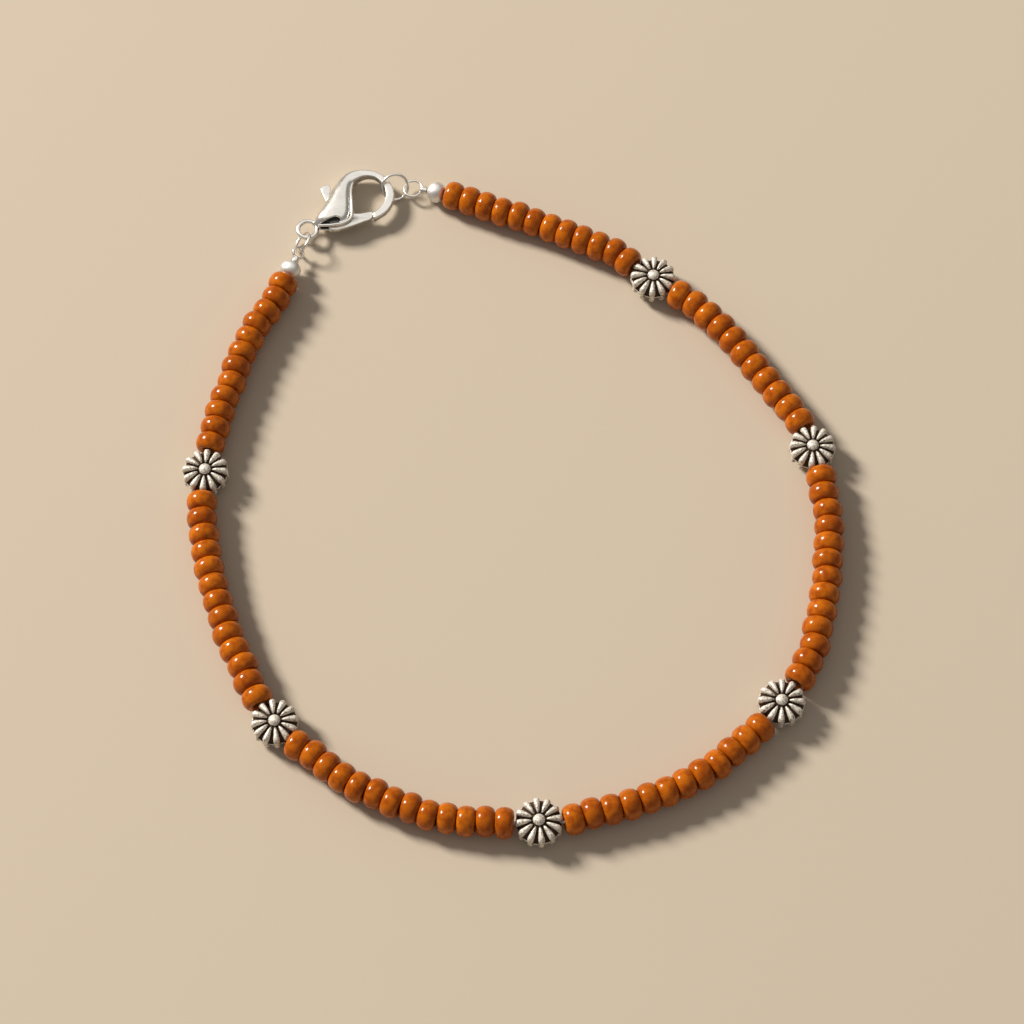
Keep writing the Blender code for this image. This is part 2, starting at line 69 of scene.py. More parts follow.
LOG = logging.getLogger("anklet")
MM = 0.001
FRAME_SHIFT = Vector((-0.1226, -2.6972, 0.0))
UP = Vector((0.0, 0.0, 1.0))
ALONG = Vector((1.0, 0.0, 0.0))

Profile = Sequence[tuple[float, float]]
Colour = tuple[float, float, float]
Span = tuple[float, float]


class Body(Enum):
    """The two rigid bodies of the anklet."""

    ANKLET = "anklet"
    LEVER = "lever"


class Slot(Enum):
    """The finishes that the record names."""

    GLASS = "orange_glass"
    SILVER = "polished_silver"
    ANTIQUE = "antique_silver"
    STEEL = "pin_steel"


class Side(Enum):
    """The two ends of the string, on the clasp's eye side and on its hook side."""

    LEFT = "left"
    RIGHT = "right"


class Cut(Enum):
    """What a tool does to the piece that it works on."""

    JOIN = "UNION"
    REMOVE = "DIFFERENCE"


# Finishes


class Shader:
    """One material's node graph, built a node at a time."""

    def __init__(self, name: str) -> None:
        """Start a Principled material."""
        self.material = bpy.data.materials.new(name)
        self.material.use_nodes = True
        self.tree = self.material.node_tree
        self.surface = self.tree.nodes["Principled BSDF"]

    def node(self, kind: str, **settings: object) -> bpy.types.Node:
        """Add a node and give it settings."""
        made = self.tree.nodes.new(kind)
        for name, value in settings.items():
            setattr(made, name, value)
        return made

    def feed(self, target: bpy.types.NodeSocket, source: bpy.types.NodeSocket) -> None:
        """Link a source socket to a target one."""
        self.tree.links.new(source, target)

    def take(self, name: str, source: bpy.types.NodeSocket) -> None:
        """Link a source socket to one of the surface's, by name."""
        self.feed(self.surface.inputs[name], source)

    def value(self, **numbers: object) -> None:
        """Set sockets of the surface by name, with underscores for spaces."""
        for name, number in numbers.items():
            self.surface.inputs[name.replace("_", " ")].default_value = number

    def place(self) -> bpy.types.NodeSocket:
        """Return the object coordinates."""
        return self.node("ShaderNodeTexCoord").outputs["Object"]

    def grain(self, size: float, detail: float = 3.0, rough: float = 0.5) -> bpy.types.NodeSocket:
        """Add noise.

        Args:
            size: The size of its features in millimetres.
            detail: The octaves that it has.
            rough: The share that each finer octave keeps.

        Returns:
            The noise's value, from 0 to 1.
        """
        made = self.node("ShaderNodeTexNoise")
        made.inputs["Scale"].default_value = 1.0 / (size * MM)
        made.inputs["Detail"].default_value = detail
        made.inputs["Roughness"].default_value = rough
        self.feed(made.inputs["Vector"], self.place())
        return made.outputs["Fac"]

    def attribute(self, name: str) -> bpy.types.NodeSocket:
        """Return a mesh attribute's value."""
        return self.node("ShaderNodeAttribute", attribute_name=name).outputs["Fac"]

    def spread(self, source: bpy.types.NodeSocket, low: float, high: float,
               start: float, end: float) -> bpy.types.NodeSocket:
        """Map a value from the range low to high onto start to end.

        Args:
            source: The value.
            low: What maps to start.
            high: What maps to end.
            start: The result at low.
            end: The result at high.

        Returns:
            The mapped value, held to its range.
        """
        made = self.node("ShaderNodeMapRange", clamp=True)
        for name, number in (("From Min", low), ("From Max", high), ("To Min", start), ("To Max", end)):
            made.inputs[name].default_value = number
        self.feed(made.inputs["Value"], source)
        return made.outputs["Result"]

    def scaled(self, source: bpy.types.NodeSocket, factor: float,
               more: bpy.types.NodeSocket | None = None) -> bpy.types.NodeSocket:
        """Multiply a value, and add another one where it is given.

        Args:
            source: The value.
            factor: What it is multiplied by.
            more: What is added.

        Returns:
            The result.
        """
        made = self.node("ShaderNodeMath", operation="MULTIPLY_ADD")
        self.feed(made.inputs[0], source)
        made.inputs[1].default_value = factor
        made.inputs[2].default_value = 0.0
        if more is not None:
            self.feed(made.inputs[2], more)
        return made.outputs[0]

    def blend(self, share: bpy.types.NodeSocket, first: object, second: object) -> bpy.types.NodeSocket:
        """Mix two colours.

        Args:
            share: How much of the second one there is.
            first: A colour, or a socket that gives one.
            second: A colour, or a socket that gives one.

        Returns:
            The mixed colour.
        """
        made = self.node("ShaderNodeMix", data_type="RGBA")
        self.feed(made.inputs["Factor"], share)
        for name, colour in (("A", first), ("B", second)):
            socket = [s for s in made.inputs if s.name == name and s.type == "RGBA"][0]
            if isinstance(colour, bpy.types.NodeSocket):
                self.feed(socket, colour)
            else:
                socket.default_value = (*colour, 1.0)
        return [s for s in made.outputs if s.type == "RGBA"][0]

    def relief(self, height: bpy.types.NodeSocket, depth: float, strength: float = 1.0) -> None:
        """Raise the surface by a height.

        Args:
            height: The height, from 0 to 1.
            depth: What 1 stands for, in millimetres.
            strength: How much of it shows.
        """
        made = self.node("ShaderNodeBump")
        made.inputs["Distance"].default_value = depth * MM
        made.inputs["Strength"].default_value = strength
        self.feed(made.inputs["Height"], height)
        self.feed(self.surface.inputs["Normal"], made.outputs["Normal"])


@dataclass(frozen=True)
class GlassFinish:
    """Opaque glossy glass in burnt orange, a little cloudy, each bead with its own tint."""

    bright: Colour = (0.55, 0.138, 0.003)
    deep: Colour = (0.23, 0.031, 0.0004)
    cloud_size: float = 0.9
    cloud_range: Span = (0.40, 0.64)
    cloud_share: float = 0.68
    tint_share: float = 0.35
    roughness: float = 0.14
    gloss_size: float = 0.5
    gloss_range: Span = (0.3, 0.7)
    gloss_spread: float = 0.07
    refraction: float = 1.5
    specular: float = 0.24
    ripple_size: float = 0.8
    ripple_depth: float = 0.012

    def build(self) -> bpy.types.Material:
        """Return the material."""
        shader = Shader("orange_glass_dressed")
        cloud = shader.spread(shader.grain(self.cloud_size, 4.0, 0.6), *self.cloud_range, 0.0, 1.0)
        tint = shader.spread(shader.attribute("tint"), 0.0, 1.0, 0.0, self.tint_share)
        plain = shader.blend(tint, self.bright, self.deep)
        shader.take("Base Color", shader.blend(shader.scaled(cloud, self.cloud_share), plain, self.deep))
        shader.take("Roughness", shader.spread(shader.grain(self.gloss_size), *self.gloss_range,
                                               self.roughness, self.roughness + self.gloss_spread))
        shader.value(IOR=self.refraction, Specular_IOR_Level=self.specular)
        shader.relief(shader.grain(self.ripple_size, 2.0), self.ripple_depth, 0.35)
        return shader.material


@dataclass(frozen=True)
class SilverFinish:
    """Polished silver with faint wear; shade is painted almost black into its recesses, which are also left
    rougher and less metallic.
    """

    name: str = "polished_silver_dressed"
    colour: Colour = (0.86, 0.83, 0.775)
    worn: Colour = (0.70, 0.665, 0.61)
    # Painted shade: near black, laid into the recesses that the lamps leave too light.
    painted_recess_shade: Colour = (0.020, 0.017, 0.014)
    roughness: float = 0.14
    wear_size: float = 1.6
    wear_range: Span = (0.42, 0.72)
    wear_share: float = 0.6
    gloss_size: float = 0.7
    gloss_range: Span = (0.3, 0.75)
    gloss_spread: float = 0.12
    recess_dullness: float = 0.45
    recess_metal: float = 0.2
    ripple_size: float = 0.35
    ripple_depth: float = 0.006

    def build(self) -> bpy.types.Material:
        """Return the material."""
        shader = Shader(self.name)
        wear = shader.spread(shader.grain(self.wear_size, 4.0, 0.6), *self.wear_range, 0.0, self.wear_share)
        polished = shader.blend(wear, self.colour, self.worn)
        # This mask paints shade into recesses: the base colour goes to the near-black painted shade, and
        # the metal there is made rougher and less metallic.
        painted_recess_shade = shader.attribute("painted_recess_shade")
        shader.take("Base Color", shader.blend(painted_recess_shade, polished, self.painted_recess_shade))
        gloss = shader.spread(shader.grain(self.gloss_size, 5.0, 0.6), *self.gloss_range,
                              self.roughness, self.roughness + self.gloss_spread)
        shader.take("Roughness", shader.scaled(painted_recess_shade, self.recess_dullness, gloss))
        shader.take("Metallic", shader.spread(painted_recess_shade, 0.0, 1.0, 1.0, self.recess_metal))
        shader.relief(shader.grain(self.ripple_size, 3.0), self.ripple_depth, 0.5)
        return shader.material


@dataclass(frozen=True)
class AntiqueFinish:
    """Cast silver, pale and pitted on its heights and blackened in its grooves."""

    height: Colour = (0.80, 0.745, 0.655)
    tarnish: Colour = (0.27, 0.22, 0.165)
    groove: Colour = (0.058, 0.029, 0.013)
    pit_size: float = 0.19
    pit_range: Span = (0.37, 0.52)
    pit_depth: float = 0.035
    edge_wander: float = 0.35
    edge_range: Span = (0.50, 0.70)
    # In the grooves and on the heights.
    metal: Span = (0.2, 0.32)
    roughness: Span = (0.7, 0.46)
    specular: float = 0.28

    def build(self) -> bpy.types.Material:
        """Return the material."""
        shader = Shader("antique_silver_dressed")
        relief = shader.attribute("relief")
        speck = shader.grain(self.pit_size, 4.0, 0.65)
        pitted = shader.spread(speck, *self.pit_range, 1.0, 0.0)
        top = shader.blend(pitted, self.height, self.tarnish)
        edge = shader.scaled(speck, self.edge_wander, relief)
        shown = shader.spread(edge, *self.edge_range, 0.0, 1.0)
        shader.take("Base Color", shader.blend(shown, self.groove, top))
        shader.take("Metallic", shader.spread(shown, 0.0, 1.0, *self.metal))
        shader.take("Roughness", shader.spread(shown, 0.0, 1.0, *self.roughness))
        shader.value(Specular_IOR_Level=self.specular)
        shader.relief(speck, self.pit_depth, 0.8)
        return shader.material


@dataclass(frozen=True)
class SteelFinish:
    """Drawn steel for the wire and the pin."""

    colour: Colour = (0.58, 0.57, 0.55)
    shade: Colour = (0.36, 0.35, 0.34)
    grain_size: float = 0.15
    shade_range: Span = (0.35, 0.7)
    gloss_range: Span = (0.3, 0.7)
    roughness: Span = (0.28, 0.42)

    def build(self) -> bpy.types.Material:
        """Return the material."""
        shader = Shader("pin_steel_dressed")
        grain = shader.grain(self.grain_size)
        shaded = shader.spread(grain, *self.shade_range, 0.0, 1.0)
        shader.take("Base Color", shader.blend(shaded, self.colour, self.shade))
        shader.take("Roughness", shader.spread(grain, *self.gloss_range, *self.roughness))
        shader.value(Metallic=1.0)
        return shader.material


@dataclass(frozen=True)
class FloorFinish:
    """A plain pale surface."""

    colour: Colour = (0.62, 0.53, 0.42)

    def build(self) -> bpy.types.Material:
        """Return the material."""
        shader = Shader("pale_floor")
        shader.value(Base_Color=(*self.colour, 1.0), Roughness=1.0, Specular_IOR_Level=0.0)
        return shader.material


# Shaping


def verts_of(geometry: Iterable[object]) -> list[bmesh.types.BMVert]:
    """Return the vertices among an operator's results."""
    return [item for item in geometry if isinstance(item, bmesh.types.BMVert)]


def edges_of(geometry: Iterable[object]) -> list[bmesh.types.BMEdge]:
    """Return the edges among an operator's results."""
    return [item for item in geometry if isinstance(item, bmesh.types.BMEdge)]


def whole(verts: Sequence[bmesh.types.BMVert]) -> list[object]:
    """Return vertices with the edges and faces that hang on them."""
    return [*verts, *{e for v in verts for e in v.link_edges}, *{f for v in verts for f in v.link_faces}]


def axes(spot: Vector, forward: Vector, side: Vector) -> Matrix:
    """Build a frame at a spot.

    Args:
        spot: Its origin.
        forward: The direction of its X axis.
        side: A direction near its Y axis.

    Returns:
        The frame's matrix.
    """
    x = forward.normalized()
    y = (side - x * x.dot(side)).normalized()
    made = Matrix((x, y, x.cross(y))).transposed().to_4x4()
    made.translation = spot
    return made


def spin_profile(bm: bmesh.types.BMesh, points: Sequence[Vector], axis: Vector, steps: int,
                 closed: bool) -> list[bmesh.types.BMVert]:
    """Spin a profile a full turn about an axis through the origin.

    Args:
        bm: The mesh to add to.
        points: The profile's points, the ends on the axis where it isn't closed.
        axis: The axis.
        steps: The steps of the turn.
        closed: Whether the profile joins up with its start.

    Returns:
        The vertices that were added.
    """
    before = set(bm.verts)
    verts = [bm.verts.new(point) for point in points]
    pairs = list(zip(verts, verts[1:])) + ([(verts[-1], verts[0])] if closed else [])
    edges = [bm.edges.new(pair) for pair in pairs]
    bmesh.ops.spin(bm, geom=verts + edges, cent=(0, 0, 0), axis=axis, angle=2 * math.pi,
                   steps=steps, use_merge=True)
    added = [vert for vert in bm.verts if vert not in before]
    bmesh.ops.remove_doubles(bm, verts=added, dist=1e-5)
    return [vert for vert in bm.verts if vert not in before]


def loft(bm: bmesh.types.BMesh, rings: Sequence[Sequence[Vector]]) -> None:
    """Extrude a closed ring through others of the same count and fill both ends.

    Args:
        bm: The mesh to add to.
        rings: Each ring's points, in the same order round.
    """
    loop = [bm.verts.new(point) for point in rings[0]]
    edges = [bm.edges.new((loop[i - 1], loop[i])) for i in range(len(loop))]
    bm.faces.new(reversed(loop))
    for ring in rings[1:]:
        made = bmesh.ops.extrude_edge_only(bm, edges=edges)["geom"]
        new = set(verts_of(made))
        loop = [next(e.other_vert(v) for e in v.link_edges if e.other_vert(v) in new) for v in loop]
        edges = [edge for edge in edges_of(made) if edge.verts[0] in new and edge.verts[1] in new]
        for vert, point in zip(loop, ring):
            vert.co = point
    bm.faces.new(loop)


def circle(matrix: Matrix, radius: float, sides: int) -> list[Vector]:
    """Return points round a circle in a frame's YZ plane."""
    turns = [2 * math.pi * (i + 0.5) / sides for i in range(sides)]
    return [matrix @ Vector((0.0, radius * math.cos(a), radius * math.sin(a))) for a in turns]


def sweep(bm: bmesh.types.BMesh, path: Sequence[Vector], radius: float, sides: int) -> None:
    """Sweep a round section along a path and close its ends.

    Args:
        bm: The mesh to add to.
        path: The points that its middle follows.
        radius: Its radius.
        sides: Its sides.
    """
    rings = []
    for i, point in enumerate(path):
        ahead = path[min(i + 1, len(path) - 1)] - path[max(i - 1, 0)]
        side = UP.cross(ahead)
        rings.append(circle(axes(point, ahead, side), radius, sides))
    loft(bm, rings)


def smooth_through(points: Sequence[Vector], steps: int, closed: bool = False) -> list[Vector]:
    """Run a smooth curve through points.

    Args:
        points: The points.
        steps: The steps from each point to the next.
        closed: Whether the curve joins up with its start.

    Returns:
        The curve's points.
    """
    if closed:
        ends = [points[-1], *points, points[0], points[1]]
    else:
        ends = [2 * points[0] - points[1], *points, 2 * points[-1] - points[-2]]
    curve = []
    for a, b, c, d in zip(ends, ends[1:], ends[2:], ends[3:]):
        for i in range(steps):
            t = i / steps
            curve.append(0.5 * (2 * b + (c - a) * t + (2 * a - 5 * b + 4 * c - d) * t * t
                                + (3 * b - a - 3 * c + d) * t ** 3))
    return curve if closed else [*curve, points[-1]]


def block(bm: bmesh.types.BMesh, outline: Sequence[Vector], low: float, high: float) -> None:
    """Extrude an outline in plan between two heights.

    Args:
        bm: The mesh to add to.
        outline: Its points in plan.
        low: The lower height.
        high: The upper height.
    """
    base = bm.faces.new([bm.verts.new((point.x, point.y, low)) for point in outline])
    top = verts_of(bmesh.ops.extrude_face_region(bm, geom=[base])["geom"])
    bmesh.ops.translate(bm, vec=(0.0, 0.0, high - low), verts=top)


def rod(bm: bmesh.types.BMesh, radius: float, low: float, high: float, sides: int = 32) -> None:
    """Add an upright round rod between two heights.

    Args:
        bm: The mesh to add to.
        radius: Its radius.
        low: The lower height.
        high: The upper height.
        sides: Its sides.
    """
    made = bmesh.ops.create_cone(bm, cap_ends=True, segments=sides, radius1=radius, radius2=radius,
                                 depth=high - low)["verts"]
    bmesh.ops.translate(bm, vec=(0.0, 0.0, (low + high) / 2), verts=made)


def loose(name: str, bm: bmesh.types.BMesh) -> bpy.types.Object:
    """Turn a bmesh into a working object, still in millimetres."""
    bmesh.ops.recalc_face_normals(bm, faces=bm.faces)
    mesh = bpy.data.meshes.new(name)
    bm.to_mesh(mesh)
    bm.free()
    made = bpy.data.objects.new(name, mesh)
    bpy.context.scene.collection.objects.link(made)
    return made


def settle(made: bpy.types.Object) -> None:
    """Apply an object's modifiers to its mesh."""
    graph = bpy.context.evaluated_depsgraph_get()
    graph.update()
    mesh = bpy.data.meshes.new_from_object(made.evaluated_get(graph), depsgraph=graph)
    made.modifiers.clear()
    made.data = mesh


def combine(made: bpy.types.Object, tool: bpy.types.Object, cut: Cut) -> None:
    """Cut a working object with a tool, or join the two, and remove the tool.

    Args:
        made: The working object.
        tool: The tool.
        cut: What the tool does.
    """
    step = made.modifiers.new("shape", "BOOLEAN")
    step.operation = cut.value
    step.solver = "EXACT"
    step.object = tool
    settle(made)
    bpy.data.objects.remove(tool, do_unlink=True)


def fuse_skin(made: bpy.types.Object, voxel: float, passes: int, swell: float) -> None:
    """Give a working object one soft cast skin.

    Args:
        made: The working object.
        voxel: The size of the skin's faces in millimetres.
        passes: How often it is smoothed.
        swell: What it grows outwards in millimetres, as smoothing shrinks it.
    """
    step = made.modifiers.new("skin", "REMESH")
    step.mode = "VOXEL"
    step.voxel_size = voxel
    settle(made)
    bm = bmesh.new()
    bm.from_mesh(made.data)
    for _ in range(passes):
        bmesh.ops.smooth_vert(bm, verts=bm.verts, factor=0.5, use_axis_x=True, use_axis_y=True,
                              use_axis_z=True)
    bm.normal_update()
    for vert in bm.verts:
        vert.co += vert.normal * swell
    bm.to_mesh(made.data)
    bm.free()


def tree_of(made: bpy.types.Object) -> BVHTree:
    """Return a search tree of a working object's surface."""
    bm = bmesh.new()
    bm.from_mesh(made.data)
    tree = BVHTree.FromBMesh(bm)
    bm.free()
    return tree


def mark_painted_shade(made: bpy.types.Object, tree: BVHTree, start: float, full: float) -> None:
    """Mark how deep each point lies under an uncut surface, as the mask for shade painted into recesses.

    Args:
        made: The working object.
        tree: The uncut surface.
        start: The depth in millimetres where the mark begins.
        full: The depth where it is full.
    """
    # Depth under the uncut surface, stored as the mask for painted recess shade.
    painted_recess_shade = made.data.attributes.new("painted_recess_shade", "FLOAT", "POINT")
    for vert, point in zip(made.data.vertices, painted_recess_shade.data):
        spot, normal, _, distance = tree.find_nearest(vert.co)
        inside = (vert.co - spot).dot(normal) < 0
        point.value = min(1.0, max(0.0, (distance - start) / (full - start))) if inside else 0.0


@dataclass
class Piece:
    """A finished piece: what it stands for, what carries it and what it is made of."""

    made: bpy.types.Object
    body: Body
    slot: Slot
    finish: bpy.types.Material
    stands_for: tuple[str, ...] = ()

    def finish_up(self) -> None:
        """Move the mesh to its place in metres, dress it and let it ride on its body."""
        mesh = self.made.data
        mesh.transform(Matrix.Scale(MM, 4) @ Matrix.Translation(FRAME_SHIFT))
        mesh.materials.clear()
        mesh.materials.append(self.finish)
        mesh.shade_smooth()
        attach(self.made, self.body.value)
        if self.stands_for:
            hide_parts(*self.stands_for)
        LOG.info("%s: %d faces on %s", self.made.name, len(mesh.polygons), self.body.value)


# Layout


@dataclass
class Layout:
    """Where the clasp, the rings, the end loops and the balls lie, and how the flowers turn."""

    clasp_eye: tuple[float, float] = (-24.15, 36.98)
    clasp_turn: float = math.radians(27.0)
    clasp_thickness: float = 2.7
    eye_radius: float = 1.12
    eye_wire: float = 0.54
    link_wire: float = 0.34
    loop_wire: float = 0.3
    link_gap: float = 0.12
    left_ring_radius: float = 1.28
    left_ring_roll: float = math.radians(50.0)
    right_ring_radius: float = 1.55
    right_ring_tilt: float = math.radians(47.0)
    right_ring_twist: float = math.radians(-10.6)
    right_ring_link: float = math.radians(-17.7)
    right_ring_seat: float = 0.25
    right_ring_drop: float = 0.33
    nose_inner: float = 10.6375
    nose_up: float = 0.8602
    left_loop_radius: float = 0.7
    right_loop_radius: float = 1.08
    left_aim: tuple[float, float] = (-25.9, 31.4)
    right_aim: tuple[float, float] = (-9.0, 42.0)
    ball_height: float = 1.5
    # How far each flower's petals are turned, in degrees.
    flower_turns: tuple[float, ...] = (-4.0, 8.0, 7.0, -3.0, -5.0, -4.0)

    @property
    def clasp(self) -> Matrix:
        """The clasp's frame, at its eye on the surface."""
        return Matrix.Translation((*self.clasp_eye, 0.0)) @ Matrix.Rotation(self.clasp_turn, 4, "Z")

    @property
    def left_line(self) -> Vector:
        """The direction from the clasp's eye to the route's start."""
        eye = Vector((*self.clasp_eye, self.clasp_thickness / 2))
        return (Vector((*self.left_aim, self.ball_height)) - eye).normalized()

    def left_ring(self) -> Matrix:
        """Return the left jump ring's frame, its Z along the ring's axis."""
        line = self.left_line
        side = UP.cross(line).normalized()
        start = self.eye_radius - self.eye_wire / 2 - self.link_wire / 2 - self.link_gap
        eye = Vector((*self.clasp_eye, self.clasp_thickness / 2))
        roll = math.cos(self.left_ring_roll) * side + math.sin(self.left_ring_roll) * UP
        return axes(eye + line * (start + self.left_ring_radius), line, roll)

    def left_loop(self) -> Matrix:
        """Return the left end loop's frame, its X towards the ball."""
        line = self.left_line
        side = UP.cross(line).normalized()
        hold = (self.link_wire + self.loop_wire) / 2 + self.link_gap
        spot = self.left_ring().translation + line * (self.left_ring_radius - hold
                                                      + self.left_loop_radius)
        cross = math.sin(self.left_ring_roll) * side - math.cos(self.left_ring_roll) * UP
        return axes(spot, line, cross)

    def right_ring(self) -> Matrix:
        """Return the right jump ring's frame, its Z along the ring's axis."""
        x = self.nose_inner - self.right_ring_seat - self.link_wire / 2 + self.right_ring_radius
        spot = (x, self.nose_up - self.right_ring_drop, self.clasp_thickness / 2)
        return (self.clasp @ Matrix.Translation(spot)
                @ Matrix.Rotation(self.right_ring_twist, 4, "Z")
                @ Matrix.Rotation(self.right_ring_tilt, 4, "X"))

    def right_loop(self) -> Matrix:
        """Return the right end loop's frame, its X towards the ball."""
        radius = self.right_ring_radius
        link = self.right_ring() @ Vector((radius * math.cos(self.right_ring_link),
                                           radius * math.sin(self.right_ring_link), 0.0))
        line = (Vector((*self.right_aim, self.ball_height)) - link).normalized()
        hold = (self.link_wire + self.loop_wire) / 2 + self.link_gap
        return axes(link + line * (self.right_loop_radius - hold), line, UP.cross(line))


class Route:
    """The string's way round the ankle, read by its length."""

    def __init__(self, points: Sequence[Vector], steps: int = 16) -> None:
        """Run a smooth curve through the points."""
        self.samples = np.array([tuple(point) for point in smooth_through(points, steps)])
        lengths = np.linalg.norm(np.diff(self.samples, axis=0), axis=1)
        self.along = np.concatenate(([0.0], np.cumsum(lengths)))
        self.marks = [self.along[i * steps] for i in range(len(points))]

    def at(self, s: float) -> Vector:
        """Return the point at a length from the start."""
        return Vector([float(np.interp(s, self.along, self.samples[:, k])) for k in range(3)])

    def heading(self, s: float, reach: float = 0.6) -> Vector:
        """Return the direction of travel at a length from the start."""
        return (self.at(s + reach) - self.at(s - reach)).normalized()


@dataclass
class Bead:
    """One bead's place: its middle, the way it faces, its radius, half its length and its tint."""

    spot: Vector
    head: Vector
    radius: float
    half: float
    tint: float

    def face(self, end: int) -> Vector:
        """Return the middle of its far face with end 1, or of its near one with -1."""
        return self.spot + self.head * self.half * end

    def matrix(self) -> Matrix:
        """Return its frame, X along the string."""
        return axes(self.spot, self.head, UP.cross(self.head))


# The string


@dataclass
class BeadString:
    """The runs of glass beads on their wire, between the flowers and the balls."""

    diameter: float = 3.55
    bore: float = 0.9
    counts: tuple[int, ...] = (12, 13, 13, 12, 13, 11, 12)
    spread: float = 0.13
    yaw: float = math.radians(3.5)
    smallest: float = 0.955
    seed: int = 7
    stop_gap: float = 0.13
    flower_diameter: float = 5.15
    ball_length: float = 2.05
    wire_diameter: float = 0.4
    wire_sides: int = 12
    bead_sides: int = 16
    bead_steps: int = 30
    # The points between the two balls, and how many of them there are to a run.
    stride: int = 5
    route_points: tuple[tuple[float, float], ...] = (
        (-27.6, 27.4), (-30.6, 22.0), (-32.4, 16.3), (-33.9, 10.5),
        (-34.8, 4.9), (-35.0, -0.5), (-33.9, -6.9), (-31.6, -14.7), (-29.0, -20.5),
        (-26.4, -25.9), (-21.7, -29.2), (-16.8, -32.8), (-9.3, -36.0), (-2.8, -36.9),
        (2.9, -37.1), (8.9, -36.0), (15.1, -34.0), (20.8, -31.4), (25.9, -27.2),
        (29.6, -23.2), (32.8, -18.0), (34.5, -12.1), (35.7, -3.8), (35.4, 2.6),
        (34.6, 8.0), (31.8, 13.1), (28.0, 18.7), (23.9, 24.0), (21.0, 26.8),
        (16.4, 29.9), (12.1, 33.5), (6.3, 36.1), (0.5, 38.6), (-5.3, 40.6),
    )
    runs: list[list[Bead]] = field(default_factory=list)

    def lay_out(self, first: Vector, last: Vector) -> None:
        """Lay every run of beads along the route, with its seeded spread.

        Args:
            first: The middle of the left ball.
            last: The middle of the right ball.
        """
        between = [Vector((x, y, self.diameter / 2)) for x, y in self.route_points]
        route = Route([first, *between, last])
        stops = [(mark, self.flower_diameter) for mark in route.marks[::self.stride]]
        stops[0] = (route.marks[0], self.ball_length)
        stops[-1] = (route.marks[-1], self.ball_length)
        dice = random.Random(self.seed)
        tints = random.Random(self.seed + 1)
        for count, (a, wide), (b, broad) in zip(self.counts, stops, stops[1:]):
            start, end = a + wide / 2 + self.stop_gap, b - broad / 2 - self.stop_gap
            half = (end - start) / count / 2
            self.runs.append([self.lay_bead(route, dice, tints, start + half * (2 * i + 1), half)
                              for i in range(count)])

    def lay_bead(self, route: Route, dice: random.Random, tints: random.Random, s: float,
                 half: float) -> Bead:
        """Place one bead.

        Args:
            route: The string's way.
            dice: What spreads the beads.
            tints: What varies their colour.
            s: The bead's length along the way.
            half: Half its own length.

        Returns:
            The bead.
        """
        radius = self.diameter / 2 * dice.uniform(self.smallest, 1.0)
        side = dice.uniform(-self.spread, self.spread)
        yaw = dice.uniform(-self.yaw, self.yaw)
        ahead = route.heading(s)
        across = Vector((-ahead.y, ahead.x, 0.0))
        spot = route.at(s) + across * side
        spot.z = radius
        head = ahead * math.cos(yaw) + across * math.sin(yaw)
        head.z = 0.0
        return Bead(spot, head.normalized(), radius, half, tints.random())

    def build_beads(self, finish: bpy.types.Material) -> None:
        """Make every bead as a rounded ring, and let them stand for the string's solid.

        Args:
            finish: The glass.
        """
        bm = bmesh.new()
        tint = bm.verts.layers.float.new("tint")
        radius = self.diameter / 2
        wall = (radius - self.bore / 2) / 2
        turns = [2 * math.pi * i / self.bead_sides for i in range(self.bead_sides)]
        profile = [Vector((math.cos(a), 0.0, radius - wall + wall * math.sin(a))) for a in turns]
        pattern = whole(spin_profile(bm, profile, ALONG, self.bead_steps, closed=True))
        for bead in (bead for run in self.runs for bead in run):
            verts = verts_of(bmesh.ops.duplicate(bm, geom=pattern)["geom"])
            width = bead.radius / radius
            bmesh.ops.scale(bm, vec=(bead.half, width, width), verts=verts)
            bmesh.ops.transform(bm, matrix=bead.matrix(), verts=verts)
            for vert in verts:
                vert[tint] = bead.tint
        bmesh.ops.delete(bm, geom=verts_of(pattern), context="VERTS")
        made = loose("glass_beads", bm)
        Piece(made, Body.ANKLET, Slot.GLASS, finish, ("bead_string",)).finish_up()

    def build_wire(self, start: Sequence[Vector], end: Sequence[Vector],
                   finish: bpy.types.Material) -> None:
        """Thread the wire from one crimp through every bead to the other.

        Args:
            start: The wire's first points, in the left crimp.
            end: Its last points, in the right crimp.
            finish: The steel.
        """
        path = list(start)
        for run in self.runs:
            path.append(run[0].face(-1))
            path += [bead.spot for bead in run]
            path.append(run[-1].face(1))
        bm = bmesh.new()
        sweep(bm, [*path, *end], self.wire_diameter / 2, self.wire_sides)
        made = loose("beading_wire", bm)
        Piece(made, Body.ANKLET, Slot.STEEL, finish).finish_up()


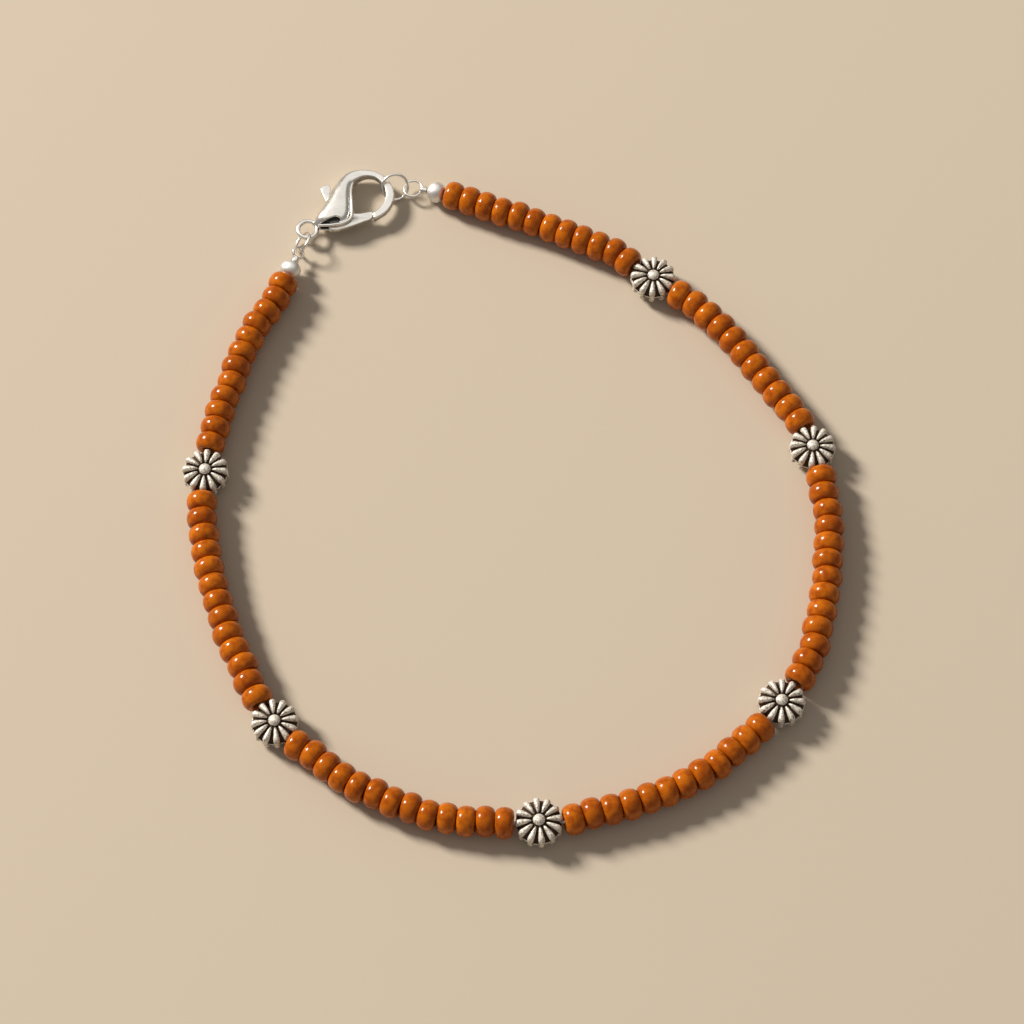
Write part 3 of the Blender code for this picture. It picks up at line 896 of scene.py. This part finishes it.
@dataclass
class FlowerSpacer:
    """A cast flower lying on its face: a boss and twelve domed petals on each side."""

    diameter: float = 5.25
    thickness: float = 2.8
    petals: int = 12
    bore: float = 0.8
    boss_radius: float = 0.65
    boss_height: float = 0.46
    seam_radius: float = 2.42
    seam_width: float = 0.20
    voxel: float = 0.075
    swell: float = 0.03
    pit_height: float = 0.018
    # How many coarse and fine pits there are to a millimetre, and the fine ones' share.
    coarse_pits: float = 4.2
    fine_pits: float = 9.0
    fine_share: float = 0.6
    # How far a point stands above the core where the grooves' dark ends, and where it is all pale.
    groove_edge: Span = (0.20, 0.44)
    # The core's outline, as shares of the radius and of half the thickness.
    core: Profile = ((0.0, 0.52), (0.27, 0.50), (0.50, 0.44), (0.76, 0.32), (0.85, 0.18), (0.86, 0.0))
    # A petal's inner end, as a share of the radius, and how early it widens.
    petal_start: float = 0.295
    petal_swell: float = 0.8
    # Half its width in millimetres, and its middle height and half its height as shares of half
    # the thickness: each at its inner end, and what it gains by its outer end.
    petal_width: Span = (0.115, 0.305)
    petal_middle: Span = (0.62, -0.30)
    petal_rise: Span = (0.31, 0.14)
    pattern: bpy.types.Mesh | None = None

    def petal(self, bm: bmesh.types.BMesh) -> list[object]:
        """Shape one petal along X on the upper side, narrow inside and domed over the rim.

        Args:
            bm: The mesh to add to.

        Returns:
            Its vertices, edges and faces.
        """
        radius, half = self.diameter / 2, self.thickness / 2
        start = radius * self.petal_start
        verts = bmesh.ops.create_uvsphere(bm, u_segments=16, v_segments=14, radius=1.0)["verts"]
        bmesh.ops.rotate(bm, matrix=Matrix.Rotation(math.pi / 2, 3, "Y"), verts=verts)
        for vert in verts:
            share = ((vert.co.x + 1) / 2) ** self.petal_swell
            blunt = math.sqrt(1 + vert.co.x ** 2)
            flat = math.sqrt(1 + vert.co.y ** 2 / max(1 - vert.co.x ** 2, 1e-6))
            width, middle, rise = (inner + gain * share for inner, gain
                                   in (self.petal_width, self.petal_middle, self.petal_rise))
            vert.co = (start + (radius - start) * share, vert.co.y * width * blunt,
                       half * (middle + vert.co.z * rise * blunt * flat))
        return whole(verts)

    def shape(self) -> bpy.types.Mesh:
        """Cast the flower about the upright axis, with how far each point stands above the core.

        Returns:
            Its mesh, undrilled.
        """
        radius, half = self.diameter / 2, self.thickness / 2
        bm = bmesh.new()
        profile = [Vector((r * radius, 0.0, z * half)) for r, z in self.core]
        profile += [Vector((r * radius, 0.0, -z * half)) for r, z in reversed(self.core[:-1])]
        spin_profile(bm, profile, UP, 72, closed=False)
        bmesh.ops.recalc_face_normals(bm, faces=bm.faces)
        core = BVHTree.FromBMesh(bm)
        petal = self.petal(bm)
        for i in range(1, self.petals):
            copy = bmesh.ops.duplicate(bm, geom=petal)["geom"]
            turn = Matrix.Rotation(2 * math.pi * i / self.petals, 3, "Z")
            bmesh.ops.rotate(bm, matrix=turn, verts=verts_of(copy))
        boss = bmesh.ops.create_uvsphere(bm, u_segments=28, v_segments=16, radius=self.boss_radius)["verts"]
        bmesh.ops.scale(bm, vec=(1.0, 1.0, self.boss_height / self.boss_radius), verts=boss)
        bmesh.ops.translate(bm, vec=(0.0, 0.0, half - self.boss_height), verts=boss)
        copied = bmesh.ops.duplicate(bm, geom=[*bm.verts, *bm.edges, *bm.faces])["geom"]
        bmesh.ops.scale(bm, vec=(1.0, 1.0, -1.0), verts=verts_of(copied))
        bmesh.ops.reverse_faces(bm, faces=[f for f in copied if isinstance(f, bmesh.types.BMFace)])
        JumpRing(self.seam_radius, self.seam_width).add_to(bm)
        made = loose("flower_pattern", bm)
        fuse_skin(made, self.voxel, 2, self.swell)
        mesh = made.data
        bpy.data.objects.remove(made, do_unlink=True)
        relief = mesh.attributes.new("relief", "FLOAT", "POINT")
        dark, pale = self.groove_edge
        for vert, point in zip(mesh.vertices, relief.data):
            distance = core.find_nearest(vert.co)[3]
            seam = abs(vert.co.z) < self.seam_width / 2 and vert.co.xy.length > self.seam_radius
            point.value = 1.0 if seam else min(1.0, max(0.0, (distance - dark) / (pale - dark)))
            fine = noise.noise(vert.co * self.fine_pits)
            pit = noise.noise(vert.co * self.coarse_pits) + self.fine_share * fine
            vert.co += vert.normal * self.pit_height * pit * point.value
        return mesh

    def build(self, name: str, node: str, before: Bead, after: Bead, turn: float,
              finish: bpy.types.Material) -> None:
        """Set the flower between two beads and drill it for the wire.

        Args:
            name: The piece's name.
            node: The solid that it stands for.
            before: The last bead of the run before it.
            after: The first bead of the run after it.
            turn: How far its petals are turned, in degrees.
            finish: The antique silver.
        """
        if self.pattern is None:
            self.pattern = self.shape()
        made = bpy.data.objects.new(name, self.pattern.copy())
        bpy.context.scene.collection.objects.link(made)
        ends = before.face(1), after.face(-1)
        spot = (ends[0] + ends[1]) / 2
        made.data.transform(Matrix.Translation(spot) @ Matrix.Rotation(math.radians(90.0 + turn), 4, "Z"))
        bm = bmesh.new()
        rod(bm, self.bore / 2, -self.diameter, self.diameter, 20)
        drill = loose("flower_drill", bm)
        along = axes(spot, ends[1] - ends[0], UP) @ Matrix.Rotation(math.pi / 2, 4, "Y")
        drill.data.transform(along)
        combine(made, drill, Cut.REMOVE)
        Piece(made, Body.ANKLET, Slot.ANTIQUE, finish, (node,)).finish_up()


@dataclass
class SilverBall:
    """A polished ball between the beads and a crimp, drilled for the wire."""

    diameter: float = 2.5
    length: float = 2.05
    bore: float = 0.8
    lip: float = 0.12
    gap: float = 0.13
    crimp_gap: float = 0.1
    steps: int = 18
    # The rounding of each mouth, by how far in from the ball's end and out from the bore it goes.
    mouth_edge: Profile = ((0.02, 0.05), (0.08, 0.0))

    def build(self, side: Side, bead: Bead, end: int, crimp: Vector,
              finish: bpy.types.Material) -> None:
        """Turn the ball and set it against a bead's face.

        Args:
            side: The string's end that it is on.
            bead: The bead beside it.
            end: Which face of the bead, 1 or -1.
            crimp: The crimp's mouth, which it points to.
            finish: The silver.
        """
        first = math.asin((self.bore / 2 + self.lip) / (self.diameter / 2))
        wide = self.length / 2 / math.cos(first)
        turns = [first + (math.pi - 2 * first) * i / self.steps for i in range(self.steps + 1)]
        profile = [Vector((-wide * math.cos(a), 0.0, self.diameter / 2 * math.sin(a))) for a in turns]
        mouth = [(self.length / 2 - x, self.bore / 2 + z) for x, z in self.mouth_edge]
        profile += [Vector((x, 0.0, z)) for x, z in mouth]
        profile += [Vector((-x, 0.0, z)) for x, z in reversed(mouth)]
        bm = bmesh.new()
        spin_profile(bm, profile, ALONG, 40, closed=True)
        face = bead.face(end)
        out = (crimp - face).normalized()
        bmesh.ops.transform(bm, matrix=axes(face + out * (self.gap + self.length / 2), out, UP),
                            verts=bm.verts)
        made = loose(f"silver_ball_{side.value}", bm)
        Piece(made, Body.ANKLET, Slot.SILVER, finish, (f"ball_{side.value}",)).finish_up()


# Rings and end loops


@dataclass
class JumpRing:
    """A closed ring of round wire."""

    radius: float
    wire: float
    sides: int = 14
    steps: int = 56

    def add_to(self, bm: bmesh.types.BMesh) -> None:
        """Spin the wire's section about Z, in a mesh."""
        turns = [2 * math.pi * i / self.sides for i in range(self.sides)]
        profile = [Vector((self.radius + self.wire / 2 * math.cos(a), 0.0, self.wire / 2 * math.sin(a)))
                   for a in turns]
        spin_profile(bm, profile, UP, self.steps, closed=True)

    def build(self, side: Side, matrix: Matrix, finish: bpy.types.Material) -> None:
        """Make the ring in its place.

        Args:
            side: The clasp's end that it links.
            matrix: Its frame.
            finish: The silver.
        """
        bm = bmesh.new()
        self.add_to(bm)
        bmesh.ops.transform(bm, matrix=matrix, verts=bm.verts)
        made = loose(f"link_ring_{side.value}", bm)
        Piece(made, Body.ANKLET, Slot.SILVER, finish, (f"jump_ring_{side.value}",)).finish_up()


@dataclass
class EndLoop:
    """A wire loop soldered to the crimp tube that grips the beading wire."""

    radius: float
    wire: float = 0.3
    crimp_diameter: float = 0.95
    crimp_length: float = 0.8
    crimp_wall: float = 0.18
    crimp_bevel: float = 0.02
    # Where the crimp's bore ends, as a share of its length from the loop.
    crimp_bore: float = 0.42
    # How far it reaches into the loop's wire, as a share of the wire's width.
    crimp_seat: float = 0.3
    # How round its ends are, as a share of its diameter.
    crimp_round: float = 0.2

    @property
    def mouth(self) -> float:
        """How far along X the crimp's mouth lies."""
        return self.radius - self.wire * self.crimp_seat + self.crimp_length

    def ball_spot(self, matrix: Matrix, ball: "SilverBall") -> Vector:
        """Return the middle of the ball that stands off the crimp's mouth."""
        return matrix @ Vector((self.mouth + ball.crimp_gap + ball.length / 2, 0, 0))

    def wire_points(self, matrix: Matrix) -> tuple[Vector, Vector]:
        """Return the wire's end in the crimp and the point where it leaves."""
        into = self.crimp_length * (1 - self.crimp_bore) * 0.5
        return matrix @ Vector((self.mouth - into, 0, 0)), matrix @ Vector((self.mouth, 0, 0))

    def build(self, side: Side, matrix: Matrix, finish: bpy.types.Material) -> None:
        """Join the loop and the crimp, and bore its mouth.

        Args:
            side: The string's end that it is on.
            matrix: Its frame, X towards the ball.
            finish: The silver.
        """
        bm = bmesh.new()
        JumpRing(self.radius, self.wire).add_to(bm)
        made = loose(f"crimp_loop_{side.value}", bm)
        outer, inner = self.crimp_diameter / 2, self.crimp_diameter / 2 - self.crimp_wall
        low, high = self.mouth - self.crimp_length, self.mouth
        depth = low + self.crimp_length * self.crimp_bore
        turns = [math.pi / 2 * i / 5 for i in range(6)]
        corner = [[self.crimp_diameter * self.crimp_round * (1 - turn(a)) for turn in (math.cos, math.sin)]
                  for a in turns]
        outline = [(low, 0.0)]
        outline += [(low + along, outer - inwards) for along, inwards in corner]
        outline += [(high - along, outer - inwards) for inwards, along in corner]
        outline += [(high - self.crimp_bevel, inner), (depth, inner), (depth, 0.0)]
        tube = bmesh.new()
        spin_profile(tube, [Vector((x, 0.0, z)) for x, z in outline], ALONG, 28, closed=False)
        combine(made, loose("crimp", tube), Cut.JOIN)
        made.data.transform(matrix)
        Piece(made, Body.ANKLET, Slot.SILVER, finish, (f"end_loop_{side.value}",)).finish_up()


# The clasp


@dataclass
class LobsterClasp:
    """The cast clasp: two domed shells that become a hook, an eye, a rolled rim and a lever."""

    length: float = 11.5
    rise: float = 4.6
    thickness: float = 2.7
    eye_radius: float = 1.12
    eye_wire: float = 0.54
    rim_diameter: float = 0.34
    lever_thickness: float = 0.8
    lever_gap: float = 0.1
    pin_diameter: float = 0.72
    pin_fit: float = 0.06
    pin_play: float = 0.09
    pin_cover: float = 0.5
    lever_round: float = 0.09
    rim_sides: int = 12
    # The opening's cut ends above the casting, at this share of the thickness.
    cut_height: float = 1.2
    # How sharp the casting's two flat ends stay, and how often it is subdivided.
    end_crease: float = 0.8
    rounding: int = 3
    voxel: float = 0.06
    swell: float = 0.01
    # The depths under the uncut surface where the painted shade of a recess begins and is full.
    body_shade_depths: Span = (0.06, 0.18)
    lever_shade_depths: Span = (0.25, 0.7)
    uncut: BVHTree | None = None
    # The rim's height where it starts, what it gains by its end and how far it arches between,
    # as shares of the thickness.
    rim_height: tuple[float, float, float] = (0.70, 0.04, 0.08)
    # How much wider a section is than its two edges, so that the shells meet round the spine.
    section_spread: float = 1.05
    # Places in plan are shares of the length and the rise.
    pivot: tuple[float, float] = (0.326, 0.076)
    # Each section's spine edge and inner edge in plan, its floor and top, and how far its
    # outline goes from the domed body's to the flatter hook's.
    sections: tuple[tuple[float, ...], ...] = (
        (0.091, 0.120, 0.098, -0.075, 0.37, 0.64, 0.0),
        (0.137, 0.204, 0.147, -0.139, 0.16, 0.82, 0.0),
        (0.187, 0.283, 0.209, -0.217, 0.04, 0.93, 0.0),
        (0.235, 0.348, 0.278, -0.296, 0.00, 0.98, 0.0),
        (0.303, 0.502, 0.365, -0.363, 0.00, 1.00, 0.0),
        (0.389, 0.670, 0.452, -0.239, 0.00, 1.00, 0.0),
        (0.482, 0.841, 0.511, 0.065, 0.00, 0.97, 0.0),
        (0.567, 0.957, 0.562, 0.400, 0.00, 0.90, 0.3),
        (0.650, 0.998, 0.623, 0.652, 0.12, 0.81, 0.7),
        (0.728, 0.976, 0.711, 0.743, 0.23, 0.74, 1.0),
        (0.802, 0.922, 0.780, 0.739, 0.30, 0.70, 1.0),
        (0.872, 0.822, 0.841, 0.678, 0.33, 0.67, 1.0),
        (0.936, 0.672, 0.886, 0.578, 0.33, 0.67, 1.0),
        (0.978, 0.470, 0.912, 0.415, 0.33, 0.67, 1.0),
        (1.000, 0.207, 0.925, 0.187, 0.33, 0.67, 1.0),
        (0.987, -0.035, 0.908, 0.009, 0.33, 0.67, 1.0),
        (0.938, -0.252, 0.870, -0.133, 0.33, 0.67, 1.0),
        (0.865, -0.420, 0.813, -0.254, 0.33, 0.67, 1.0),
        (0.777, -0.518, 0.748, -0.324, 0.33, 0.67, 1.0),
        (0.657, -0.535, 0.684, -0.367, 0.33, 0.67, 1.0),
    )
    body_outline: Profile = (
        (0.00, 0.26), (0.12, 0.00), (0.88, 0.00), (1.00, 0.26), (1.01, 0.56),
        (0.92, 0.86), (0.68, 1.03), (0.34, 1.03), (0.08, 0.86), (-0.01, 0.56),
    )
    hook_outline: Profile = (
        (-0.02, 0.06), (0.06, -0.02), (0.94, -0.02), (1.02, 0.06), (1.02, 0.88),
        (0.94, 1.00), (0.66, 1.04), (0.34, 1.04), (0.03, 1.02), (-0.03, 0.94),
    )
    rim_path: Profile = (
        (0.650, 0.690), (0.589, 0.480), (0.548, 0.240), (0.508, 0.000), (0.470, -0.195),
        (0.436, -0.288), (0.386, -0.328), (0.330, -0.325), (0.261, -0.275), (0.200, -0.212),
        (0.150, -0.150), (0.108, -0.092),
    )
    lever_outline: Profile = (
        (0.637, -0.489), (0.676, -0.322), (0.563, -0.228), (0.490, -0.135), (0.437, -0.040),
        (0.415, 0.080), (0.398, 0.210), (0.372, 0.340), (0.366, 0.560), (0.385, 0.680),
        (0.420, 0.830), (0.408, 0.920), (0.360, 0.945), (0.320, 0.880), (0.308, 0.700),
        (0.303, 0.520), (0.285, 0.330), (0.258, 0.200), (0.244, 0.076), (0.232, -0.100),
        (0.196, -0.240), (0.216, -0.335), (0.290, -0.405), (0.370, -0.445), (0.440, -0.467),
        (0.540, -0.480),
    )
    slot_outline: Profile = (
        (0.130, -0.700), (0.550, -0.700), (0.558, 0.165), (0.452, 0.207), (0.404, 0.300),
        (0.408, 0.700), (0.425, 1.000), (0.150, 0.850), (0.180, 0.230), (0.165, 0.050),
        (0.130, -0.070),
    )
    face_opening: Profile = (
        (0.102, -0.062), (0.150, -0.064), (0.210, -0.074), (0.262, -0.092), (0.304, -0.112),
        (0.334, -0.180), (0.322, -0.258), (0.262, -0.230), (0.200, -0.172), (0.146, -0.116),
    )

    def plan(self, outline: Profile) -> list[Vector]:
        """Turn shares of the length and the rise into points in plan."""
        return [Vector((x * self.length, y * self.rise, 0.0)) for x, y in outline]

    def casting(self) -> bpy.types.Object:
        """Loft the shells and the hook through their sections.

        Returns:
            The working object.
        """
        rings = []
        for spine_x, spine_y, inner_x, inner_y, floor, top, square in self.sections:
            spine, inner = self.plan(((spine_x, spine_y), (inner_x, inner_y)))
            ring = []
            for body, hook in zip(self.body_outline, self.hook_outline):
                across, up = Vector(body).lerp(Vector(hook), square)
                point = inner + (spine - inner) * (0.5 + (across - 0.5) * self.section_spread)
                point.z = (floor + (top - floor) * up) * self.thickness
                ring.append(point)
            rings.append(ring)
        bm = bmesh.new()
        loft(bm, rings)
        crease = bm.edges.layers.float.new("crease_edge")
        for face in bm.faces:
            if len(face.verts) > 4:
                for edge in face.edges:
                    edge[crease] = self.end_crease
        made = loose("casting", bm)
        step = made.modifiers.new("round", "SUBSURF")
        step.levels = step.render_levels = self.rounding
        settle(made)
        return made

    def drill(self, made: bpy.types.Object, play: float, high: float) -> None:
        """Bore a working object for the pin, from under it.

        Args:
            made: The working object.
            play: The room round the pin.
            high: The height where the bore ends.
        """
        bore = bmesh.new()
        rod(bore, self.pin_diameter / 2 + play, -1.0, high)
        bmesh.ops.translate(bore, vec=self.plan((self.pivot,))[0], verts=bore.verts)
        combine(made, loose("bore", bore), Cut.REMOVE)

    def build_body(self, layout: Layout, finish: bpy.types.Material) -> None:
        """Join the casting, the eye and the rim, and cut the lever's slot, the opening and the bore.

        Args:
            layout: Where the clasp lies.
            finish: The silver.
        """
        middle = self.thickness / 2
        made = self.casting()
        eye = bmesh.new()
        JumpRing(self.eye_radius, self.eye_wire).add_to(eye)
        bmesh.ops.translate(eye, vec=(0, 0, middle), verts=eye.verts)
        combine(made, loose("eye", eye), Cut.JOIN)
        path = self.plan(self.rim_path)
        start, gain, arch = self.rim_height
        for i, point in enumerate(path):
            share = i / (len(path) - 1)
            point.z = self.thickness * (start + gain * share + arch * math.sin(math.pi * share))
        rim = bmesh.new()
        sweep(rim, smooth_through(path, 5), self.rim_diameter / 2, self.rim_sides)
        combine(made, loose("rim", rim), Cut.JOIN)
        self.uncut = tree_of(made)
        slot_half = self.lever_thickness / 2 + self.lever_gap
        slot = bmesh.new()
        block(slot, self.plan(self.slot_outline), middle - slot_half, middle + slot_half)
        combine(made, loose("slot", slot), Cut.REMOVE)
        opening = bmesh.new()
        outline = smooth_through(self.plan(self.face_opening), 4, closed=True)
        block(opening, outline, middle, self.thickness * self.cut_height)
        combine(made, loose("opening", opening), Cut.REMOVE)
        self.drill(made, self.pin_fit, self.thickness - self.pin_cover + self.pin_fit)
        fuse_skin(made, self.voxel, 3, self.swell)
        # Paints shade into the walls of the slot, the opening and the bore.
        mark_painted_shade(made, self.uncut, *self.body_shade_depths)
        made.name = "clasp_casting"
        made.data.transform(layout.clasp)
        Piece(made, Body.ANKLET, Slot.SILVER, finish, ("clasp_body",)).finish_up()

    def build_lever(self, layout: Layout, finish: bpy.types.Material) -> None:
        """Cut the lever from plate, round its edges and bore it for the pin.

        Args:
            layout: Where the clasp lies.
            finish: The silver.
        """
        low = (self.thickness - self.lever_thickness) / 2
        high = low + self.lever_thickness
        bm = bmesh.new()
        block(bm, smooth_through(self.plan(self.lever_outline), 4, closed=True), low, high)
        rims = [e for e in bm.edges if abs(e.verts[0].co.z - e.verts[1].co.z) < 1e-6]
        bmesh.ops.bevel(bm, geom=rims, offset=self.lever_round, offset_type="OFFSET", segments=3,
                        profile=0.5, affect="EDGES", material=-1, clamp_overlap=True)
        made = loose("clasp_lever_cast", bm)
        self.drill(made, self.pin_play, self.thickness + 1.0)
        # Paints shade on the part of the lever that lies inside the casting.
        mark_painted_shade(made, self.uncut, *self.lever_shade_depths)
        made.data.transform(layout.clasp)
        Piece(made, Body.LEVER, Slot.SILVER, finish, ("clasp_lever",)).finish_up()


# The studio


@dataclass(frozen=True)
class SoftLight:
    """A round soft light that faces the anklet, its sizes in metres and its power in watts."""

    name: str
    toward: tuple[float, float, float]
    reach: float
    size: float
    power: float
    colour: Colour

    def hang(self, look_at: Vector) -> bpy.types.Object:
        """Hang the light.

        Args:
            look_at: The point that it faces.

        Returns:
            The light.
        """
        lamp = bpy.data.lights.new(self.name, "AREA")
        lamp.shape = "DISK"
        lamp.size = self.size
        lamp.energy = self.power
        lamp.color = self.colour
        made = bpy.data.objects.new(self.name, lamp)
        away = Vector(self.toward).normalized()
        made.location = look_at + away * self.reach
        made.rotation_euler = away.to_track_quat("Z", "Y").to_euler()
        bpy.context.scene.collection.objects.link(made)
        return made


@dataclass
class Studio:
    """A pale floor, soft light from the upper left and the camera."""

    look_at: tuple[float, float, float] = (-0.0001226, -0.0026972, 0.001675)
    elevation: float = math.radians(65.0)
    distance: float = 0.34838
    lens: float = 108.39
    sensor: float = 36.0
    clip_start: float = 0.01
    floor_reach: float = 1.5
    floor_gap: float = 0.00002
    sky: Colour = (1.0, 0.96, 0.91)
    sky_strength: float = 0.27
    key: SoftLight = SoftLight("key_light", (-0.70, 0.46, 0.55), 2.0, 0.48, 58.0, (1.0, 0.95, 0.88))
    overhead: SoftLight = SoftLight("soft_box", (0.0, 0.42, 0.91), 0.50, 0.90, 1.4, (1.0, 0.98, 0.95))

    def build_floor(self, finish: bpy.types.Material) -> None:
        """Lay the floor under the anklet."""
        bm = bmesh.new()
        bmesh.ops.create_grid(bm, x_segments=1, y_segments=1, size=self.floor_reach)
        bmesh.ops.translate(bm, vec=(0, 0, -self.floor_gap), verts=bm.verts)
        mesh = bpy.data.meshes.new("floor")
        bm.to_mesh(mesh)
        bm.free()
        mesh.materials.append(finish)
        floor = bpy.data.objects.new("floor", mesh)
        bpy.context.scene.collection.objects.link(floor)

    def build_lights(self) -> None:
        """Light the anklet from the upper left, with a soft box for the metal and a pale sky."""
        world = bpy.data.worlds.new("sky")
        world.use_nodes = True
        background = world.node_tree.nodes["Background"]
        background.inputs["Color"].default_value = (*self.sky, 1.0)
        background.inputs["Strength"].default_value = self.sky_strength
        bpy.context.scene.world = world
        self.key.hang(Vector(self.look_at))
        box = self.overhead.hang(Vector(self.look_at))
        box.visible_diffuse = False
        metal = bpy.data.collections.new("metal")
        for made in bpy.context.scene.objects:
            if made.material_slots and "glass" not in made.name:
                metal.objects.link(made)
        box.light_linking.receiver_collection = metal
        bpy.context.scene.view_settings.view_transform = "Standard"

    def build_camera(self) -> None:
        """Stand the camera at the photograph's angle."""
        lens = bpy.data.cameras.new("camera")
        lens.lens = self.lens
        lens.sensor_width = self.sensor
        lens.sensor_fit = "HORIZONTAL"
        lens.clip_start = self.clip_start
        made = bpy.data.objects.new("camera", lens)
        away = Vector((0.0, -math.cos(self.elevation), math.sin(self.elevation)))
        made.location = Vector(self.look_at) + away * self.distance
        made.rotation_euler = away.to_track_quat("Z", "Y").to_euler()
        bpy.context.scene.collection.objects.link(made)
        bpy.context.scene.camera = made


def main() -> None:
    """Build every sub-assembly in order and dress the solids that stay."""
    logging.basicConfig(level=logging.INFO, format="%(name)s %(message)s")
    layout = Layout()
    glass = GlassFinish().build()
    silver = SilverFinish().build()
    cast_silver = SilverFinish("cast_silver_dressed", (0.84, 0.815, 0.765), (0.66, 0.635, 0.59),
                               roughness=0.19).build()
    soft_silver = SilverFinish("soft_silver_dressed", (0.79, 0.77, 0.73), roughness=0.42).build()
    antique = AntiqueFinish().build()
    steel = SteelFinish().build()

    left_loop = EndLoop(layout.left_loop_radius, layout.loop_wire)
    right_loop = EndLoop(layout.right_loop_radius, layout.loop_wire)
    start = left_loop.wire_points(layout.left_loop())
    end = right_loop.wire_points(layout.right_loop())

    ball = SilverBall()
    string = BeadString()
    string.lay_out(left_loop.ball_spot(layout.left_loop(), ball),
                   right_loop.ball_spot(layout.right_loop(), ball))
    string.build_beads(glass)
    string.build_wire(start, end[::-1], steel)

    flower = FlowerSpacer()
    for i, (before, after, turn) in enumerate(zip(string.runs, string.runs[1:], layout.flower_turns), 1):
        flower.build(f"cast_flower_{i}", f"flower_{i}", before[-1], after[0], turn, antique)

    ball.build(Side.LEFT, string.runs[0][0], -1, start[1], soft_silver)
    ball.build(Side.RIGHT, string.runs[-1][-1], 1, end[1], soft_silver)

    JumpRing(layout.left_ring_radius, layout.link_wire).build(Side.LEFT, layout.left_ring(), silver)
    JumpRing(layout.right_ring_radius, layout.link_wire).build(Side.RIGHT, layout.right_ring(), silver)
    left_loop.build(Side.LEFT, layout.left_loop(), silver)
    right_loop.build(Side.RIGHT, layout.right_loop(), silver)

    clasp = LobsterClasp()
    clasp.build_body(layout, cast_silver)
    clasp.build_lever(layout, cast_silver)
    frame["nodes"]["lever_pin"].material_slots[0].material = steel

    studio = Studio()
    studio.build_floor(FloorFinish().build())
    studio.build_lights()
    studio.build_camera()


if __name__ == "__main__":
    main()
